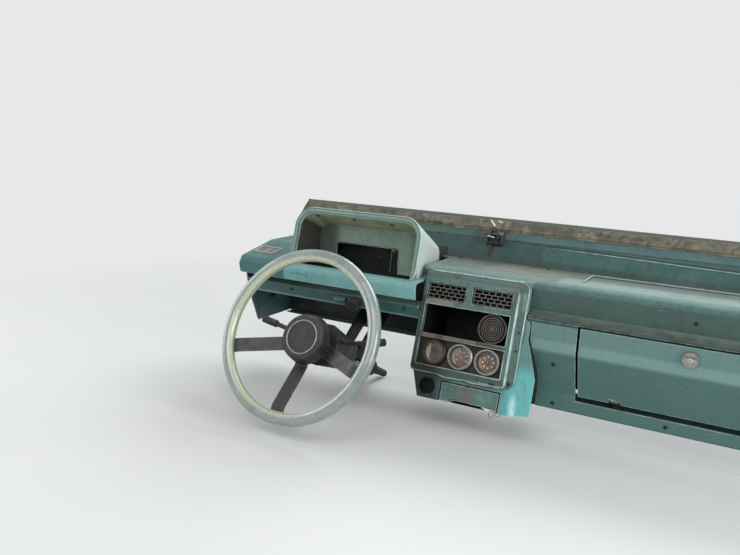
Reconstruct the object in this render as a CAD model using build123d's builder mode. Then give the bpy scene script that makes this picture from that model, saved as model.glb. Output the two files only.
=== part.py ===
from build123d import *
import os
from math import cos, radians, sin, tan

os.makedirs("parts", exist_ok=True)

# Dashboard of a small passenger truck with its scuttle panel, centre stack and steering column.
# X runs to the right across the cab, Y forward and Z up, in millimetres.
# The origin is the middle of the four bulkhead bolts, on the bulkhead's front face.

# Fits and walls
seat_gap = 0.3
running_gap = 0.05
moving_gap = 5.0
cut_over = 1.0
pressing = 2.0
plate = 4.0
moulding = 4.0
thin_sheet = 1.5

# Whole dash
dash_width = 1300.0
shelf_top = 96.0
shelf_bend = 8.0
skirt_height = 16.0
dash_foot = -160.0
half_width = dash_width / 2
panel_end = half_width - pressing - seat_gap

# Scuttle panel: bulkhead, folded wall and screen flange
bulkhead_foot = -100.0
bulkhead_return = 22.0
fold_depth = 21.0
fold_height = 135.0
screen_depth = 66.0
screen_height = 180.0
glass_flange = 5.0
swage_step = 4.0
pressing_bend = 3.0
bulkhead_bolt_radius = 4.5
bulkhead_bolts_apart = 1000.0
bulkhead_bolts_rise = 120.0
seal_width = 26.0
seal_thickness = 5.0

# Catch on the scuttle's slope
catch_x = -115.0
catch_width = 34.0
catch_length = 40.0
catch_base = 3.0
catch_ear = 4.0
catch_ear_inset = 6.0
ear_height = 16.0
catch_pin_radius = 3.5
catch_pin_drop = 6.0
catch_pin_over = 4.0
catch_seal_gap = 2.0

# Cross tube under the shelf and the bolts in the end plates
tube_radius = 17.0
tube_wall = 2.5
tube_depth = 28.0
tube_height = -30.0
pillar_bolts_apart = 90.0
pillar_bolt_radius = 4.5
pillar_bolts_depth = 88.0

# Centre stack, on a plane whose top leans forward
stack_x = -90.0
stack_y = -184.0
stack_z = -10.0
stack_tilt = 17.0
stack_wall = 4.0
stack_left = 104.0
stack_right = 121.0
stack_foot_left = 79.0
draw_from = -91.0
shoulder_step = 9.0
shoulder_drop = 6.0
nose_width = 5.0
nose_depth = 3.0
flare_step = 22.0
flare_from = -15.0
flare_crease = 111.0
flare_depth = 20.0
flank_back = 123.0
flank_depth = 45.0

# Bezel on the stack, with its windows measured from the stack's centre
bezel_left = 102.0
bezel_right = 120.0
bezel_top = 106.0
bezel_foot = 106.0
bezel_thickness = 10.0
bezel_flange = 5.0
bezel_corner = 20.0
bezel_rim_right = 103.0
bezel_rim_top = 92.0
bezel_rim_corner = 8.0
bezel_round = 4.0
flange_round = 2.0
window_half = 91.0
window_corner = 3.0
slot_top = 34.3
slot_foot = -25.6
gauge_top = -34.3
gauge_foot = -89.9
vent_top = 79.4
vent_foot = 46.0
vent_apart = 14.0
window_margin = 3.0

# Vent grilles and their air box
vent_frame = 3.0
vent_bar = 2.6
vent_rows = 4
vent_columns = 6
vent_thickness = 7.0
vent_upright_set_back = 2.0
air_box_depth = 55.0
air_box_wall = 2.0

# Slot box and round grille
slot_depth = 125.0
grille_x = 57.0
grille_can_depth = 34.0
grille_rings = 5
grille_rim = 3.0
grille_ring_width = 2.2
grille_ring_height = 3.0
grille_button = 3.5
grille_recess = 4.0

# Gauges
gauge_radius = 26.0
gauge_ring_radius = 27.4
gauge_ring_height = 9.0
gauge_ring_wall = 5.0
gauge_ring_chamfer = 2.0
gauge_pitch = 57.6
gauge_depth = 38.0
gauge_plate_recess = 3.0
gauge_plate_thickness = 3.0
gauge_plate_rim = 2.0
gauge_glass = 2.0
gauge_glass_drop = 3.5
dial_drop = 4.0
dial_thickness = 1.2
needle_hub = 2.6
needle_length = 14.0
needle_width = 1.0
needle_shift = (-5.0, 3.0)
needle_turn = -31.0

# Ash drawer with its broken lower edge, and the socket beside it
ash_left = -29.0
ash_right = 92.0
ash_top = -118.0
ash_foot = -154.0
ash_gap = 3.0
ash_front = 3.0
ash_depth = 78.0
ash_wall = 2.0
ash_corner = 2.0
ash_break = [(-3.0, -152.6), (-1.0, -150.2), (12.0, -149.6), (38.0, -150.1), (66.0, -149.6), (73.0, -150.8)]
rail_size = 5.0
rail_inset = 4.0
socket_x = -61.0
socket_y = -131.8
socket_radius = 18.5
socket_wall = 4.0
socket_dish = 10.0
socket_depth = 30.0
socket_lip = 1.0

# Steering wheel and column
wheel_x = -371.0
wheel_y = -368.0
wheel_z = -35.0
wheel_tilt = 26.4
rim_radius = 168.0
rim_core = 10.6
cover_thickness = 2.0
cover_slot_gap = 2.0
shaft_radius = 10.0
shaft_length = 336.0
shaft_end_radius = 9.0
shaft_end_length = 40.0
column_radius = 21.0
column_wall = 3.0
column_length = 264.0
bush_length = 22.0
spoke_drop = 40.0
spoke_width = 28.0
spoke_thickness = 5.0
spoke_bend = 14.0
spoke_knee_in = 56.0
spoke_knee_out = 24.0
spoke_end = 4.0
spoke_angles = [-18.0, 198.0, 270.0]
hub_radius = 34.0
hub_boss_radius = 19.0
hub_boss_depth = 62.0
pad_radius = 52.0
pad_height = 24.0
pad_taper = 12.0
pad_round = 6.0

# Shroud, lock and stalks on the column
shroud_width = 100.0
shroud_height = 88.0
shroud_length = 118.0
shroud_corner = 22.0
shroud_taper = 0.72
shroud_wall = 3.0
shroud_gap = 3.0
lock_radius = 13.0
lock_reach = 76.0
lock_set_back = 60.0
lock_drop = 24.0
key_slot = (9.0, 2.0)
key_depth = 5.0
stalk_radius = 5.0
stalk_grip_radius = 8.0
stalk_grip = 34.0
stalk_reach = 150.0
stalk_rise = 14.0
stalk_forward = 18.0
stalk_height = 16.0
stalk_set_back = 26.0
stalk_bend = 16.0
stalk_root = 4.0
stalk_straight = 14.0

# Hanger and strap that hold the column
hanger_from_wheel = 205.0
hanger_width = 34.0
hanger_rim = 6.0
saddle_rise = 12.0
strap_ear = 20.0
strap_set_back = 5.0

# Instrument hood
hood_offset = 8.0
hood_x = wheel_x + hood_offset
hood_width = 320.0
hood_top = 198.5
hood_face_y = -162.5
hood_tilt = 15.0
hood_corner = 47.0
hood_rim = 14.0
hood_round = 4.5
hood_rear_width = 272.0
hood_rear_top = 118.0
hood_rear_corner = 24.0
hood_rear_gap = 10.0
carrier_y = -97.0
cluster_width = 160.0
cluster_top = 112.0
cluster_offset = -13.0
cluster_corner = 8.0
cluster_apron = 14.0
bay_front_gap = 4.0
bay_margin = 3.0

# Driver's ledge, the panel under it and its knob
ledge_top = 71.0
ledge_y = -214.0
ledge_back = 90.0
lip_foot = 34.0
lip_lean = 5.0
lip_bend = 14.0
slope_y = -89.0
knee_top = 22.0
knee_shoulder = 6.0
knee_return = 22.0
knee_gap = 26.0
knee_foot = -12.0
knee_lean = 9.0
knee_lip = 10.0
knob_x = -353.0
knob_z = -1.0
knob_radius = 16.0
knob_length = 15.0
knob_taper = 6.0

# Side vent in the left top
side_vent_share = 0.47
side_vent_place = 0.31
side_vent_y = -157.0
side_vent_length = 40.0
side_vent_wall = 4.5
side_vent_corner = 5.0
side_vent_sleeve = 6.0
side_vent_stand = 2.0
side_vent_bars = 4
side_vent_pitch = 7.5
side_vent_bar = 2.0

# Right fascia and glove box
fascia_foot = 31.0
fascia_slope = 8.0
fascia_lip = 5.0
fascia_bend = 2.5
fascia_gap = 2.0
lid_y = -174.0
lid_top = 22.0
lid_crease = -30.0
lid_foot = -122.0
lid_foot_y = -142.0
lid_width = 390.0
lid_right_gap = 122.0
lid_thickness = 12.0
lid_bend = 8.0
frame_bend = 6.0
frame_gap = 2.0
frame_depth = 40.0
rail_drop = 11.0
rail_upstand = 30.0
rail_lap = 9.0
bin_wall = 3.0
bin_flange = 28.0
bin_side_gap = 8.0
bin_front_gap = 9.0
bin_slope = 34.0
bin_foot_rise = 6.0
bin_back_rise = 16.0
hinge_pin_radius = 3.0
hinge_inset = 70.0
hinge_set_back = 8.0
hinge_rise = 4.0
knuckle_radius = 6.0
knuckle_length = 16.0
knuckle_side_gap = 3.0
pin_grip = 12.0
arm_back = 18.0
arm_thickness = 5.0
arm_foot = 16.0
latch_radius = 14.0
latch_reach = 10.0
latch_grip = 9.0
latch_rise = 4.0

# Places worked out from the sizes above
stack_plane = Plane(
    origin=(stack_x, stack_y, stack_z),
    x_dir=(1, 0, 0),
    z_dir=(0, -cos(radians(stack_tilt)), sin(radians(stack_tilt))),
)
wheel_plane = Plane(
    origin=(wheel_x, wheel_y, wheel_z),
    x_dir=(1, 0, 0),
    z_dir=(0, -cos(radians(wheel_tilt)), sin(radians(wheel_tilt))),
)
hood_plane = Plane(
    origin=(hood_x, hood_face_y - (hood_top - ledge_top) * tan(radians(hood_tilt)), ledge_top),
    x_dir=(1, 0, 0),
    z_dir=(0, -cos(radians(hood_tilt)), sin(radians(hood_tilt))),
)


def stack_face(z):
    """Y of the stack's front plane at one height."""
    return stack_y + (z - stack_z) * tan(radians(stack_tilt))


shelf_front = stack_face(shelf_top) + seat_gap / cos(radians(stack_tilt))
skirt_foot = shelf_top - skirt_height
stack_edge_left = stack_x - stack_left
stack_edge_right = stack_x + stack_right
hood_left = hood_x - hood_width / 2
knee_y = ledge_y + knee_gap


def sheet_section(x, points, bend, thickness, side):
    """Outline, at one x, of a sheet bent along points given as (y, z)."""
    with BuildSketch(Plane.YZ.offset(x)) as section:
        with BuildLine():
            FilletPolyline(*points, radius=bend)
            offset(amount=thickness, side=side)
        make_face()
    return section.sketch


def outline(plane, points):
    """Straight-sided face on a plane."""
    with BuildSketch(plane) as face:
        with BuildLine():
            Polyline(*points, close=True)
        make_face()
    return face.sketch


def window(plane, left, right, foot, top, corner=0.0):
    """Rectangle on a plane, given by its sides."""
    centre = plane.from_local_coords(((left + right) / 2, (foot + top) / 2, 0))
    with BuildSketch(Plane(origin=centre, x_dir=plane.x_dir, z_dir=plane.z_dir)) as face:
        if corner > 0:
            RectangleRounded(right - left, top - foot, corner)
        else:
            Rectangle(right - left, top - foot)
    return face.sketch


def save(piece, name):
    """Label one finished piece and write it as its own file."""
    piece.part.label = name
    export_step(piece.part, f"parts/{name}.step")


# Scuttle panel with a return at its foot, a swaged fold and a flange for the glass
scuttle_path = [
    (-bulkhead_return, bulkhead_foot),
    (-pressing, bulkhead_foot),
    (-pressing, shelf_top - swage_step),
    (fold_depth, fold_height),
    (fold_depth + swage_step, fold_height + 2 * swage_step),
    (screen_depth, screen_height),
    (screen_depth + glass_flange / 2, screen_height + glass_flange),
]
with BuildPart() as scuttle_panel:
    extrude(
        to_extrude=sheet_section(-half_width, scuttle_path, pressing_bend, pressing, Side.RIGHT),
        amount=dash_width,
        dir=(1, 0, 0),
    )
    with BuildSketch(Plane.XZ.offset(-pressing)):
        with GridLocations(bulkhead_bolts_apart, bulkhead_bolts_rise, 2, 2):
            Circle(bulkhead_bolt_radius)
    extrude(amount=3 * pressing, mode=Mode.SUBTRACT)
save(scuttle_panel, "scuttle_panel")

# Rubber strip along the top of the screen slope
slope_plane = Plane(
    origin=(0, screen_depth, screen_height),
    x_dir=(1, 0, 0),
    z_dir=(0, -(screen_height - fold_height - 2 * swage_step), screen_depth - fold_depth - swage_step),
)
with BuildPart() as screen_seal:
    with BuildSketch(slope_plane.offset(seat_gap)):
        with Locations((0, -seal_width / 2 - seal_thickness)):
            Rectangle(dash_width - 2 * moulding, seal_width)
    extrude(amount=seal_thickness)
    seal_face = screen_seal.faces().sort_by(Axis((0, 0, 0), slope_plane.z_dir))[-1]
    fillet(seal_face.edges().filter_by(Axis.X), seal_thickness / 2 - running_gap)
save(screen_seal, "screen_seal")

# End plates that carry the mouldings and the cross tube
plate_foot = bulkhead_foot + pressing + 4 * seat_gap
left_profile = [
    (-bulkhead_return - pressing, plate_foot),
    (-pressing - seat_gap, plate_foot),
    (-pressing - seat_gap, shelf_top),
    (slope_y, shelf_top),
    (ledge_y + lip_bend, ledge_top + pressing),
    (ledge_y, ledge_top - lip_bend),
    (ledge_y + lip_lean, lip_foot),
    (knee_y, lip_foot),
    (knee_y + knee_lean, knee_foot),
    (lid_foot_y, plate_foot),
]
right_profile = [
    (-bulkhead_return - pressing, plate_foot),
    (-pressing - seat_gap, plate_foot),
    (-pressing - seat_gap, shelf_top),
    (shelf_front + shelf_bend, shelf_top),
    (shelf_front, shelf_top - shelf_bend),
    (shelf_front, fascia_foot + fascia_slope),
    (lid_y, fascia_foot),
    (lid_y, lid_crease),
    (lid_foot_y, lid_foot),
    (lid_foot_y, dash_foot),
    (lid_foot_y + 2 * frame_depth, dash_foot),
]
for side_name, x, profile in [
    ("left", -half_width, left_profile),
    ("right", half_width - pressing, right_profile),
]:
    with BuildPart() as end_plate:
        extrude(to_extrude=outline(Plane.YZ.offset(x), profile), amount=pressing)
        with BuildSketch(Plane.YZ.offset(x)):
            with Locations((-pillar_bolts_depth, 0)):
                with GridLocations(0, pillar_bolts_apart, 1, 2):
                    Circle(pillar_bolt_radius)
        extrude(amount=pressing, mode=Mode.SUBTRACT)
    save(end_plate, f"end_plate_{side_name}")

with BuildPart() as cross_tube:
    with BuildSketch(Plane.YZ.offset(-panel_end)):
        with Locations((-tube_depth, tube_height)):
            Circle(tube_radius)
            Circle(tube_radius - tube_wall, mode=Mode.SUBTRACT)
    extrude(amount=2 * panel_end)
save(cross_tube, "cross_tube")

# Top of the dash from the hood to the right end, with its rounded front edge
with BuildPart() as dash_top:
    shelf_path = [(-pressing - seat_gap, shelf_top), (shelf_front, shelf_top), (shelf_front, skirt_foot)]
    extrude(
        to_extrude=sheet_section(hood_left, shelf_path, shelf_bend, moulding, Side.LEFT),
        amount=panel_end - hood_left,
        dir=(1, 0, 0),
    )
    with BuildSketch(Plane.XY.offset(skirt_foot - cut_over)):
        with Locations((hood_x, -hood_rear_gap + seat_gap)):
            Rectangle(hood_width + 2 * seat_gap, cut_over - shelf_front, align=(Align.CENTER, Align.MAX))
    extrude(amount=skirt_height + 2 * cut_over, mode=Mode.SUBTRACT)
    # The skirt ends at the stack, whose bezel takes its place
    extrude(
        to_extrude=window(
            Plane.XZ.offset(-shelf_front - moulding - 2 * shelf_bend),
            stack_edge_left - cut_over,
            stack_edge_right + cut_over,
            skirt_foot - cut_over,
            shelf_top - moulding,
        ),
        amount=moulding + 4 * shelf_bend,
        mode=Mode.SUBTRACT,
    )
save(dash_top, "dash_top")

# Left top, sloping from the shelf to the ledge, with the side vent's window
left_start = -panel_end
left_span = hood_left - left_start
slope_angle = (shelf_top - ledge_top) / (slope_y - ledge_y)
side_vent_width = side_vent_share * left_span
side_vent_plane = Plane(
    origin=(
        left_start + side_vent_place * left_span,
        side_vent_y,
        shelf_top + (side_vent_y - slope_y) * slope_angle,
    ),
    x_dir=(1, 0, 0),
    z_dir=(0, -slope_angle, 1),
)
with BuildPart() as left_top:
    left_path = [
        (-pressing - seat_gap, shelf_top),
        (slope_y, shelf_top),
        (ledge_y, ledge_top),
        (ledge_y + lip_lean, lip_foot),
    ]
    extrude(
        to_extrude=sheet_section(left_start, left_path, lip_bend, moulding, Side.LEFT),
        amount=left_span - seat_gap,
        dir=(1, 0, 0),
    )
    with BuildSketch(side_vent_plane.offset(-3 * moulding)):
        RectangleRounded(side_vent_width, side_vent_length, side_vent_corner)
    extrude(amount=6 * moulding, mode=Mode.SUBTRACT)
save(left_top, "left_top")

with BuildPart() as side_vent:
    with BuildSketch(side_vent_plane.offset(-side_vent_sleeve)):
        RectangleRounded(
            side_vent_width - 2 * seat_gap, side_vent_length - 2 * seat_gap, side_vent_corner - seat_gap
        )
        Rectangle(
            side_vent_width - 2 * side_vent_wall, side_vent_length - 2 * side_vent_wall, mode=Mode.SUBTRACT
        )
    extrude(amount=side_vent_sleeve + side_vent_stand)
    with BuildSketch(side_vent_plane.offset(-side_vent_sleeve)):
        with GridLocations(0, side_vent_pitch, 1, side_vent_bars):
            Rectangle(side_vent_width - side_vent_wall, side_vent_bar)
        Rectangle(side_vent_bar, side_vent_length - side_vent_wall)
    extrude(amount=side_vent_sleeve)
save(side_vent, "side_vent")

# Open floor of the instrument bay, between the hood's walls
bay_front = hood_plane.origin.Y + bay_front_gap
bay_rear = -hood_rear_gap
bay_front_half = hood_width / 2 - hood_rim - bay_margin
bay_rear_half = hood_rear_width / 2 - moulding - bay_margin


def bay_half(y):
    """Half the open floor's width at that depth."""
    return bay_front_half + (bay_rear_half - bay_front_half) * (y - bay_front) / (bay_rear - bay_front)


# Driver's ledge under the hood, up to the stack's left wall
with BuildPart() as driver_ledge:
    ledge_path = [(-ledge_back, ledge_top), (ledge_y, ledge_top), (ledge_y + lip_lean, lip_foot)]
    extrude(
        to_extrude=sheet_section(hood_left, ledge_path, lip_bend, moulding, Side.LEFT),
        amount=stack_edge_left - seat_gap - hood_left,
        dir=(1, 0, 0),
    )
    extrude(
        to_extrude=outline(
            Plane.XY.offset(ledge_top + cut_over),
            [
                (hood_x - bay_front_half, bay_front),
                (hood_x + bay_front_half, bay_front),
                (hood_x + bay_rear_half, bay_rear),
                (hood_x - bay_rear_half, bay_rear),
            ],
        ),
        amount=-moulding - 2 * cut_over,
        mode=Mode.SUBTRACT,
    )
save(driver_ledge, "driver_ledge")

# Narrow panel that leans away under the ledge, with a lip turned back at its foot
with BuildPart() as knee_panel:
    knee_path = [
        (knee_y + knee_return, knee_top),
        (knee_y, knee_top - knee_shoulder),
        (knee_y + knee_lean, knee_foot),
        (knee_y + knee_lean + knee_lip, knee_foot),
    ]
    extrude(
        to_extrude=sheet_section(left_start, knee_path, pressing, pressing, Side.LEFT),
        amount=stack_edge_left - seat_gap - left_start,
        dir=(1, 0, 0),
    )
save(knee_panel, "knee_panel")


def hood_sections(inset, foot_drop):
    """Front and rear outlines of the hood's skin, drawn in from its outer faces."""
    face_height = (hood_top - ledge_top) / cos(radians(hood_tilt))
    front_inset, rear_inset = (hood_rim, moulding) if inset else (0.0, 0.0)
    rear_plane = Plane(
        origin=(hood_x, -hood_rear_gap - rear_inset, ledge_top), x_dir=(1, 0, 0), z_dir=(0, -1, 0)
    )
    sections = []
    for plane, half, rise, corner in [
        (hood_plane, hood_width / 2 - front_inset, face_height - front_inset, hood_corner - front_inset),
        (
            rear_plane,
            hood_rear_width / 2 - rear_inset,
            hood_rear_top - ledge_top - rear_inset,
            hood_rear_corner - rear_inset,
        ),
    ]:
        foot = seat_gap - foot_drop
        with BuildSketch(plane) as section:
            with BuildLine():
                FilletPolyline((-half, foot), (-half, rise), (half, rise), (half, foot), radius=corner)
                Line((half, foot), (-half, foot))
            make_face()
        sections.append(section.sketch)
    return sections


with BuildPart() as hood_hollow:
    hollow_sections = hood_sections(True, moulding)
    loft(sections=hollow_sections)
    extrude(to_extrude=hollow_sections[0], amount=2 * moulding, dir=hood_plane.z_dir)
with BuildPart() as instrument_hood:
    loft(sections=hood_sections(False, 0.0))
    add(hood_hollow.part, mode=Mode.SUBTRACT)
    hood_face = instrument_hood.faces().sort_by(Axis((0, 0, 0), hood_plane.z_dir))[-1]
    foot_edges = hood_face.edges().sort_by(Axis.Z)[:2]
    fillet([edge for edge in hood_face.edges() if edge not in foot_edges], hood_round)
save(instrument_hood, "instrument_hood")

# Back wall of the hood, its apron below the ledge, and the opening the instruments left
carrier_plane = Plane.XZ.offset(-carrier_y)
apron_foot = ledge_top - cluster_apron
apron_half = bay_half(carrier_y + moulding) - seat_gap
with BuildPart() as cluster_panel:
    extrude(
        to_extrude=window(
            carrier_plane,
            hood_x - hood_width / 2,
            hood_x + hood_width / 2,
            ledge_top + seat_gap,
            ledge_top + hood_top,
        ),
        amount=-moulding,
    )
    add(hood_hollow.part, mode=Mode.INTERSECT)
    apron_top = ledge_top + seat_gap + cut_over
    extrude(
        to_extrude=window(carrier_plane, hood_x - apron_half, hood_x + apron_half, apron_foot, apron_top),
        amount=-moulding,
    )
    extrude(
        to_extrude=window(
            carrier_plane,
            hood_x + cluster_offset - cluster_width / 2,
            hood_x + cluster_offset + cluster_width / 2,
            apron_foot - cluster_corner - cut_over,
            cluster_top,
            cluster_corner,
        ),
        amount=-moulding,
        mode=Mode.SUBTRACT,
    )
save(cluster_panel, "cluster_panel")

# Stack housing: level cuts, from the top down, given as height, left side,
# right corner, the facet before that corner and how far the corner stands back
housing_top = shelf_top - moulding - seat_gap
shoulder_top = fascia_foot - fascia_lip - 4 * seat_gap
shoulder_right = stack_right + shoulder_step
flare_right = shoulder_right + flare_step
housing_levels = [
    (housing_top, stack_left, stack_right, stack_right - nose_width, nose_depth),
    (shoulder_top, stack_left, stack_right, stack_right - nose_width, nose_depth),
    (shoulder_top - shoulder_drop, stack_left, shoulder_right, shoulder_right - nose_width, nose_depth),
    (flare_from, stack_left, shoulder_right, shoulder_right - nose_width, nose_depth),
    (draw_from, stack_left, flare_right, flare_crease, flare_depth),
    (dash_foot, stack_foot_left, flare_right, flare_crease, flare_depth),
]


def housing_sections(inset, over, behind):
    """Level cuts of the housing, drawn in by an inset and run on at both ends and behind."""
    back = shelf_front + flank_depth + behind
    sections = []
    for number, (z, left, corner, facet, set_back) in enumerate(housing_levels):
        if number == 0:
            z = z + over
        if number == len(housing_levels) - 1:
            z = z - over
        front = stack_face(z) + inset
        sections.append(
            outline(
                Plane.XY.offset(z),
                [
                    (stack_x - left + inset, back),
                    (stack_x - left + inset, front),
                    (stack_x + facet - inset / 2, front),
                    (stack_x + corner - inset, front + set_back),
                    (stack_x + flank_back - inset, back),
                ],
            )
        )
    return sections


with BuildPart() as stack_housing:
    loft(sections=housing_sections(0.0, 0.0, 0.0), ruled=True)
    loft(sections=housing_sections(stack_wall, cut_over, cut_over), ruled=True, mode=Mode.SUBTRACT)
    bezel_span = (-window_half - window_margin, window_half + window_margin)
    for left, right, foot, top, corner in [
        (*bezel_span, gauge_foot - window_margin, vent_top + window_margin, window_corner),
        (ash_left - ash_gap, ash_right + ash_gap, 2 * ash_foot - ash_top, ash_top + ash_gap, 0.0),
        (
            socket_x - socket_radius,
            socket_x + socket_radius,
            socket_y - socket_radius,
            socket_y + socket_radius,
            socket_radius - running_gap,
        ),
    ]:
        extrude(
            to_extrude=window(stack_plane, left, right, foot, top, corner),
            amount=-3 * stack_wall,
            mode=Mode.SUBTRACT,
        )
save(stack_housing, "stack_housing")

# Space kept round the housing by the panels beside it
with BuildPart() as housing_space:
    loft(sections=housing_sections(-frame_gap, frame_gap, 2 * flank_depth), ruled=True)

# Bezel: a raised frame round the windows on a thin flange
bezel_face = stack_plane.offset(seat_gap)
stack_axis = Axis(stack_plane.origin, stack_plane.z_dir)
vent_spans = [(-window_half, -vent_apart / 2), (vent_apart / 2, window_half)]
with BuildPart() as stack_bezel:
    extrude(
        to_extrude=window(bezel_face, -bezel_left, bezel_right, -bezel_foot, bezel_top, bezel_corner),
        amount=bezel_flange,
    )
    flange_face = stack_bezel.faces().sort_by(stack_axis)[-1]
    fillet(flange_face.edges(), flange_round)
    extrude(
        to_extrude=window(
            bezel_face, -bezel_left, bezel_rim_right, -bezel_foot, bezel_rim_top, bezel_rim_corner
        ),
        amount=bezel_thickness,
    )
    rim_face = stack_bezel.faces().sort_by(stack_axis)[-1]
    fillet(rim_face.edges(), bezel_round)
    bezel_windows = [(left, right, vent_foot, vent_top) for left, right in vent_spans]
    bezel_windows.append((-window_half, window_half, slot_foot, slot_top))
    bezel_windows.append((-window_half, window_half, gauge_foot, gauge_top))
    for sides in bezel_windows:
        extrude(
            to_extrude=window(bezel_face, *sides, window_corner), amount=bezel_thickness, mode=Mode.SUBTRACT
        )
save(stack_bezel, "stack_bezel")

# Vent grilles: a frame with level bars and staggered uprights, like brickwork
row_pitch = (vent_top - vent_foot - 2 * seat_gap - 2 * vent_frame + vent_bar) / vent_rows
for name, (left, right) in zip(["left", "right"], vent_spans):
    width = right - left - 2 * seat_gap
    height = vent_top - vent_foot - 2 * seat_gap
    column_pitch = (width - 2 * vent_frame + vent_bar) / vent_columns
    grille_plane = Plane(
        origin=stack_plane.from_local_coords(((left + right) / 2, (vent_top + vent_foot) / 2, seat_gap)),
        x_dir=stack_plane.x_dir,
        z_dir=stack_plane.z_dir,
    )
    with BuildPart() as vent_grille:
        with BuildSketch(grille_plane):
            RectangleRounded(width, height, window_corner)
            Rectangle(width - 2 * vent_frame, height - 2 * vent_frame, mode=Mode.SUBTRACT)
            with GridLocations(0, row_pitch, 1, vent_rows - 1):
                Rectangle(width - vent_frame, vent_bar)
        extrude(amount=vent_thickness)
        with BuildSketch(grille_plane):
            for row in range(vent_rows):
                shift = column_pitch / 4 if row % 2 else -column_pitch / 4
                with Locations((shift, (row - (vent_rows - 1) / 2) * row_pitch)):
                    with GridLocations(column_pitch, 0, vent_columns - 1, 1):
                        Rectangle(vent_bar, row_pitch)
        extrude(amount=vent_thickness - vent_upright_set_back)
    save(vent_grille, f"vent_grille_{name}")

with BuildPart() as air_box:
    half = window_half + air_box_wall / 2
    extrude(
        to_extrude=window(stack_plane, -half, half, vent_foot - air_box_wall, vent_top + air_box_wall),
        amount=-air_box_depth,
    )
    half = window_half - air_box_wall / 2
    extrude(
        to_extrude=window(stack_plane, -half, half, vent_foot, vent_top),
        amount=-air_box_depth + air_box_wall,
        mode=Mode.SUBTRACT,
    )
save(air_box, "air_box")

# Box behind the radio slot
with BuildPart() as slot_box:
    half = window_half + thin_sheet
    extrude(
        to_extrude=window(stack_plane, -half, half, slot_foot - thin_sheet, slot_top + thin_sheet),
        amount=-slot_depth,
    )
    extrude(
        to_extrude=window(stack_plane, -window_half, window_half, slot_foot, slot_top),
        amount=-slot_depth + thin_sheet,
        mode=Mode.SUBTRACT,
    )
save(slot_box, "slot_box")

# Round grille of raised rings in the slot's right end
grille_radius = (slot_top - slot_foot) / 2 - seat_gap
ring_pitch = (grille_radius - grille_rim) / (grille_rings + 1)
round_plane = Plane(
    origin=stack_plane.from_local_coords((grille_x, (slot_top + slot_foot) / 2, -grille_recess)),
    x_dir=stack_plane.x_dir,
    z_dir=stack_plane.z_dir,
)
with BuildPart() as round_grille:
    with BuildSketch(round_plane):
        Circle(grille_radius)
    extrude(amount=-grille_can_depth)
    with BuildSketch(round_plane):
        Circle(grille_radius)
        Circle(grille_radius - grille_rim, mode=Mode.SUBTRACT)
        for ring in range(grille_rings, 0, -1):
            Circle(ring * ring_pitch + grille_ring_width / 2)
            Circle(ring * ring_pitch - grille_ring_width / 2, mode=Mode.SUBTRACT)
        Circle(grille_button)
    extrude(amount=grille_recess + grille_ring_height)
save(round_grille, "round_grille")

# Gauge plate and three round gauges
gauge_y = (gauge_top + gauge_foot) / 2
gauge_level = stack_plane.offset(-gauge_plate_recess)
gauge_centres = [-gauge_pitch, 0.0, gauge_pitch]
plate_half = window_half + gauge_plate_rim
plate_sides = (-plate_half, plate_half, gauge_foot - gauge_plate_rim, gauge_top + gauge_plate_rim)
with BuildPart() as gauge_plate:
    extrude(to_extrude=window(stack_plane, *plate_sides), amount=-gauge_plate_recess - gauge_plate_thickness)
    extrude(
        to_extrude=window(stack_plane, -window_half, window_half, gauge_foot, gauge_top),
        amount=-gauge_plate_recess,
        mode=Mode.SUBTRACT,
    )
    with BuildSketch(gauge_level):
        with Locations(*[(x, gauge_y) for x in gauge_centres]):
            Circle(gauge_radius + seat_gap)
    extrude(amount=-gauge_plate_thickness, mode=Mode.SUBTRACT)
save(gauge_plate, "gauge_plate")

dial_radius = gauge_ring_radius - gauge_ring_wall
for number, x in enumerate(gauge_centres, start=1):
    centre = Plane(
        origin=gauge_level.from_local_coords((x, gauge_y, seat_gap)),
        x_dir=stack_plane.x_dir,
        z_dir=stack_plane.z_dir,
    )
    with BuildPart() as gauge_case:
        with BuildSketch(centre):
            Circle(gauge_radius)
        extrude(amount=-gauge_depth)
        with BuildSketch(centre):
            Circle(gauge_ring_radius)
        extrude(amount=gauge_ring_height)
        chamfer(gauge_case.faces().sort_by(stack_axis)[-1].edges(), gauge_ring_chamfer)
        with BuildSketch(centre.offset(gauge_ring_height)):
            Circle(dial_radius)
        extrude(amount=-gauge_ring_height - dial_drop, mode=Mode.SUBTRACT)
    save(gauge_case, f"gauge_case_{number}")
    with BuildPart() as gauge_dial:
        with BuildSketch(centre.offset(seat_gap - dial_drop)):
            Circle(dial_radius - seat_gap)
        extrude(amount=dial_thickness)
        with BuildSketch(centre.offset(seat_gap - dial_drop + dial_thickness)):
            Circle(needle_hub)
            with Locations(needle_shift):
                Rectangle(needle_length, needle_width, rotation=needle_turn)
        extrude(amount=dial_thickness)
    save(gauge_dial, f"gauge_dial_{number}")
    with BuildPart() as gauge_lens:
        with BuildSketch(centre.offset(gauge_ring_height - gauge_glass_drop)):
            Circle(dial_radius - seat_gap)
        extrude(amount=gauge_glass)
    save(gauge_lens, f"gauge_lens_{number}")

# Socket with its dished cap beside the drawer
with BuildPart() as socket_cap:
    with BuildSketch(stack_plane.offset(-socket_depth)):
        with Locations((socket_x, socket_y)):
            Circle(socket_radius - seat_gap)
    extrude(amount=socket_depth + socket_lip)
    with BuildSketch(stack_plane.offset(socket_lip)):
        with Locations((socket_x, socket_y)):
            Circle(socket_radius - socket_wall)
    extrude(amount=-socket_dish, mode=Mode.SUBTRACT)
save(socket_cap, "socket_cap")

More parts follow.
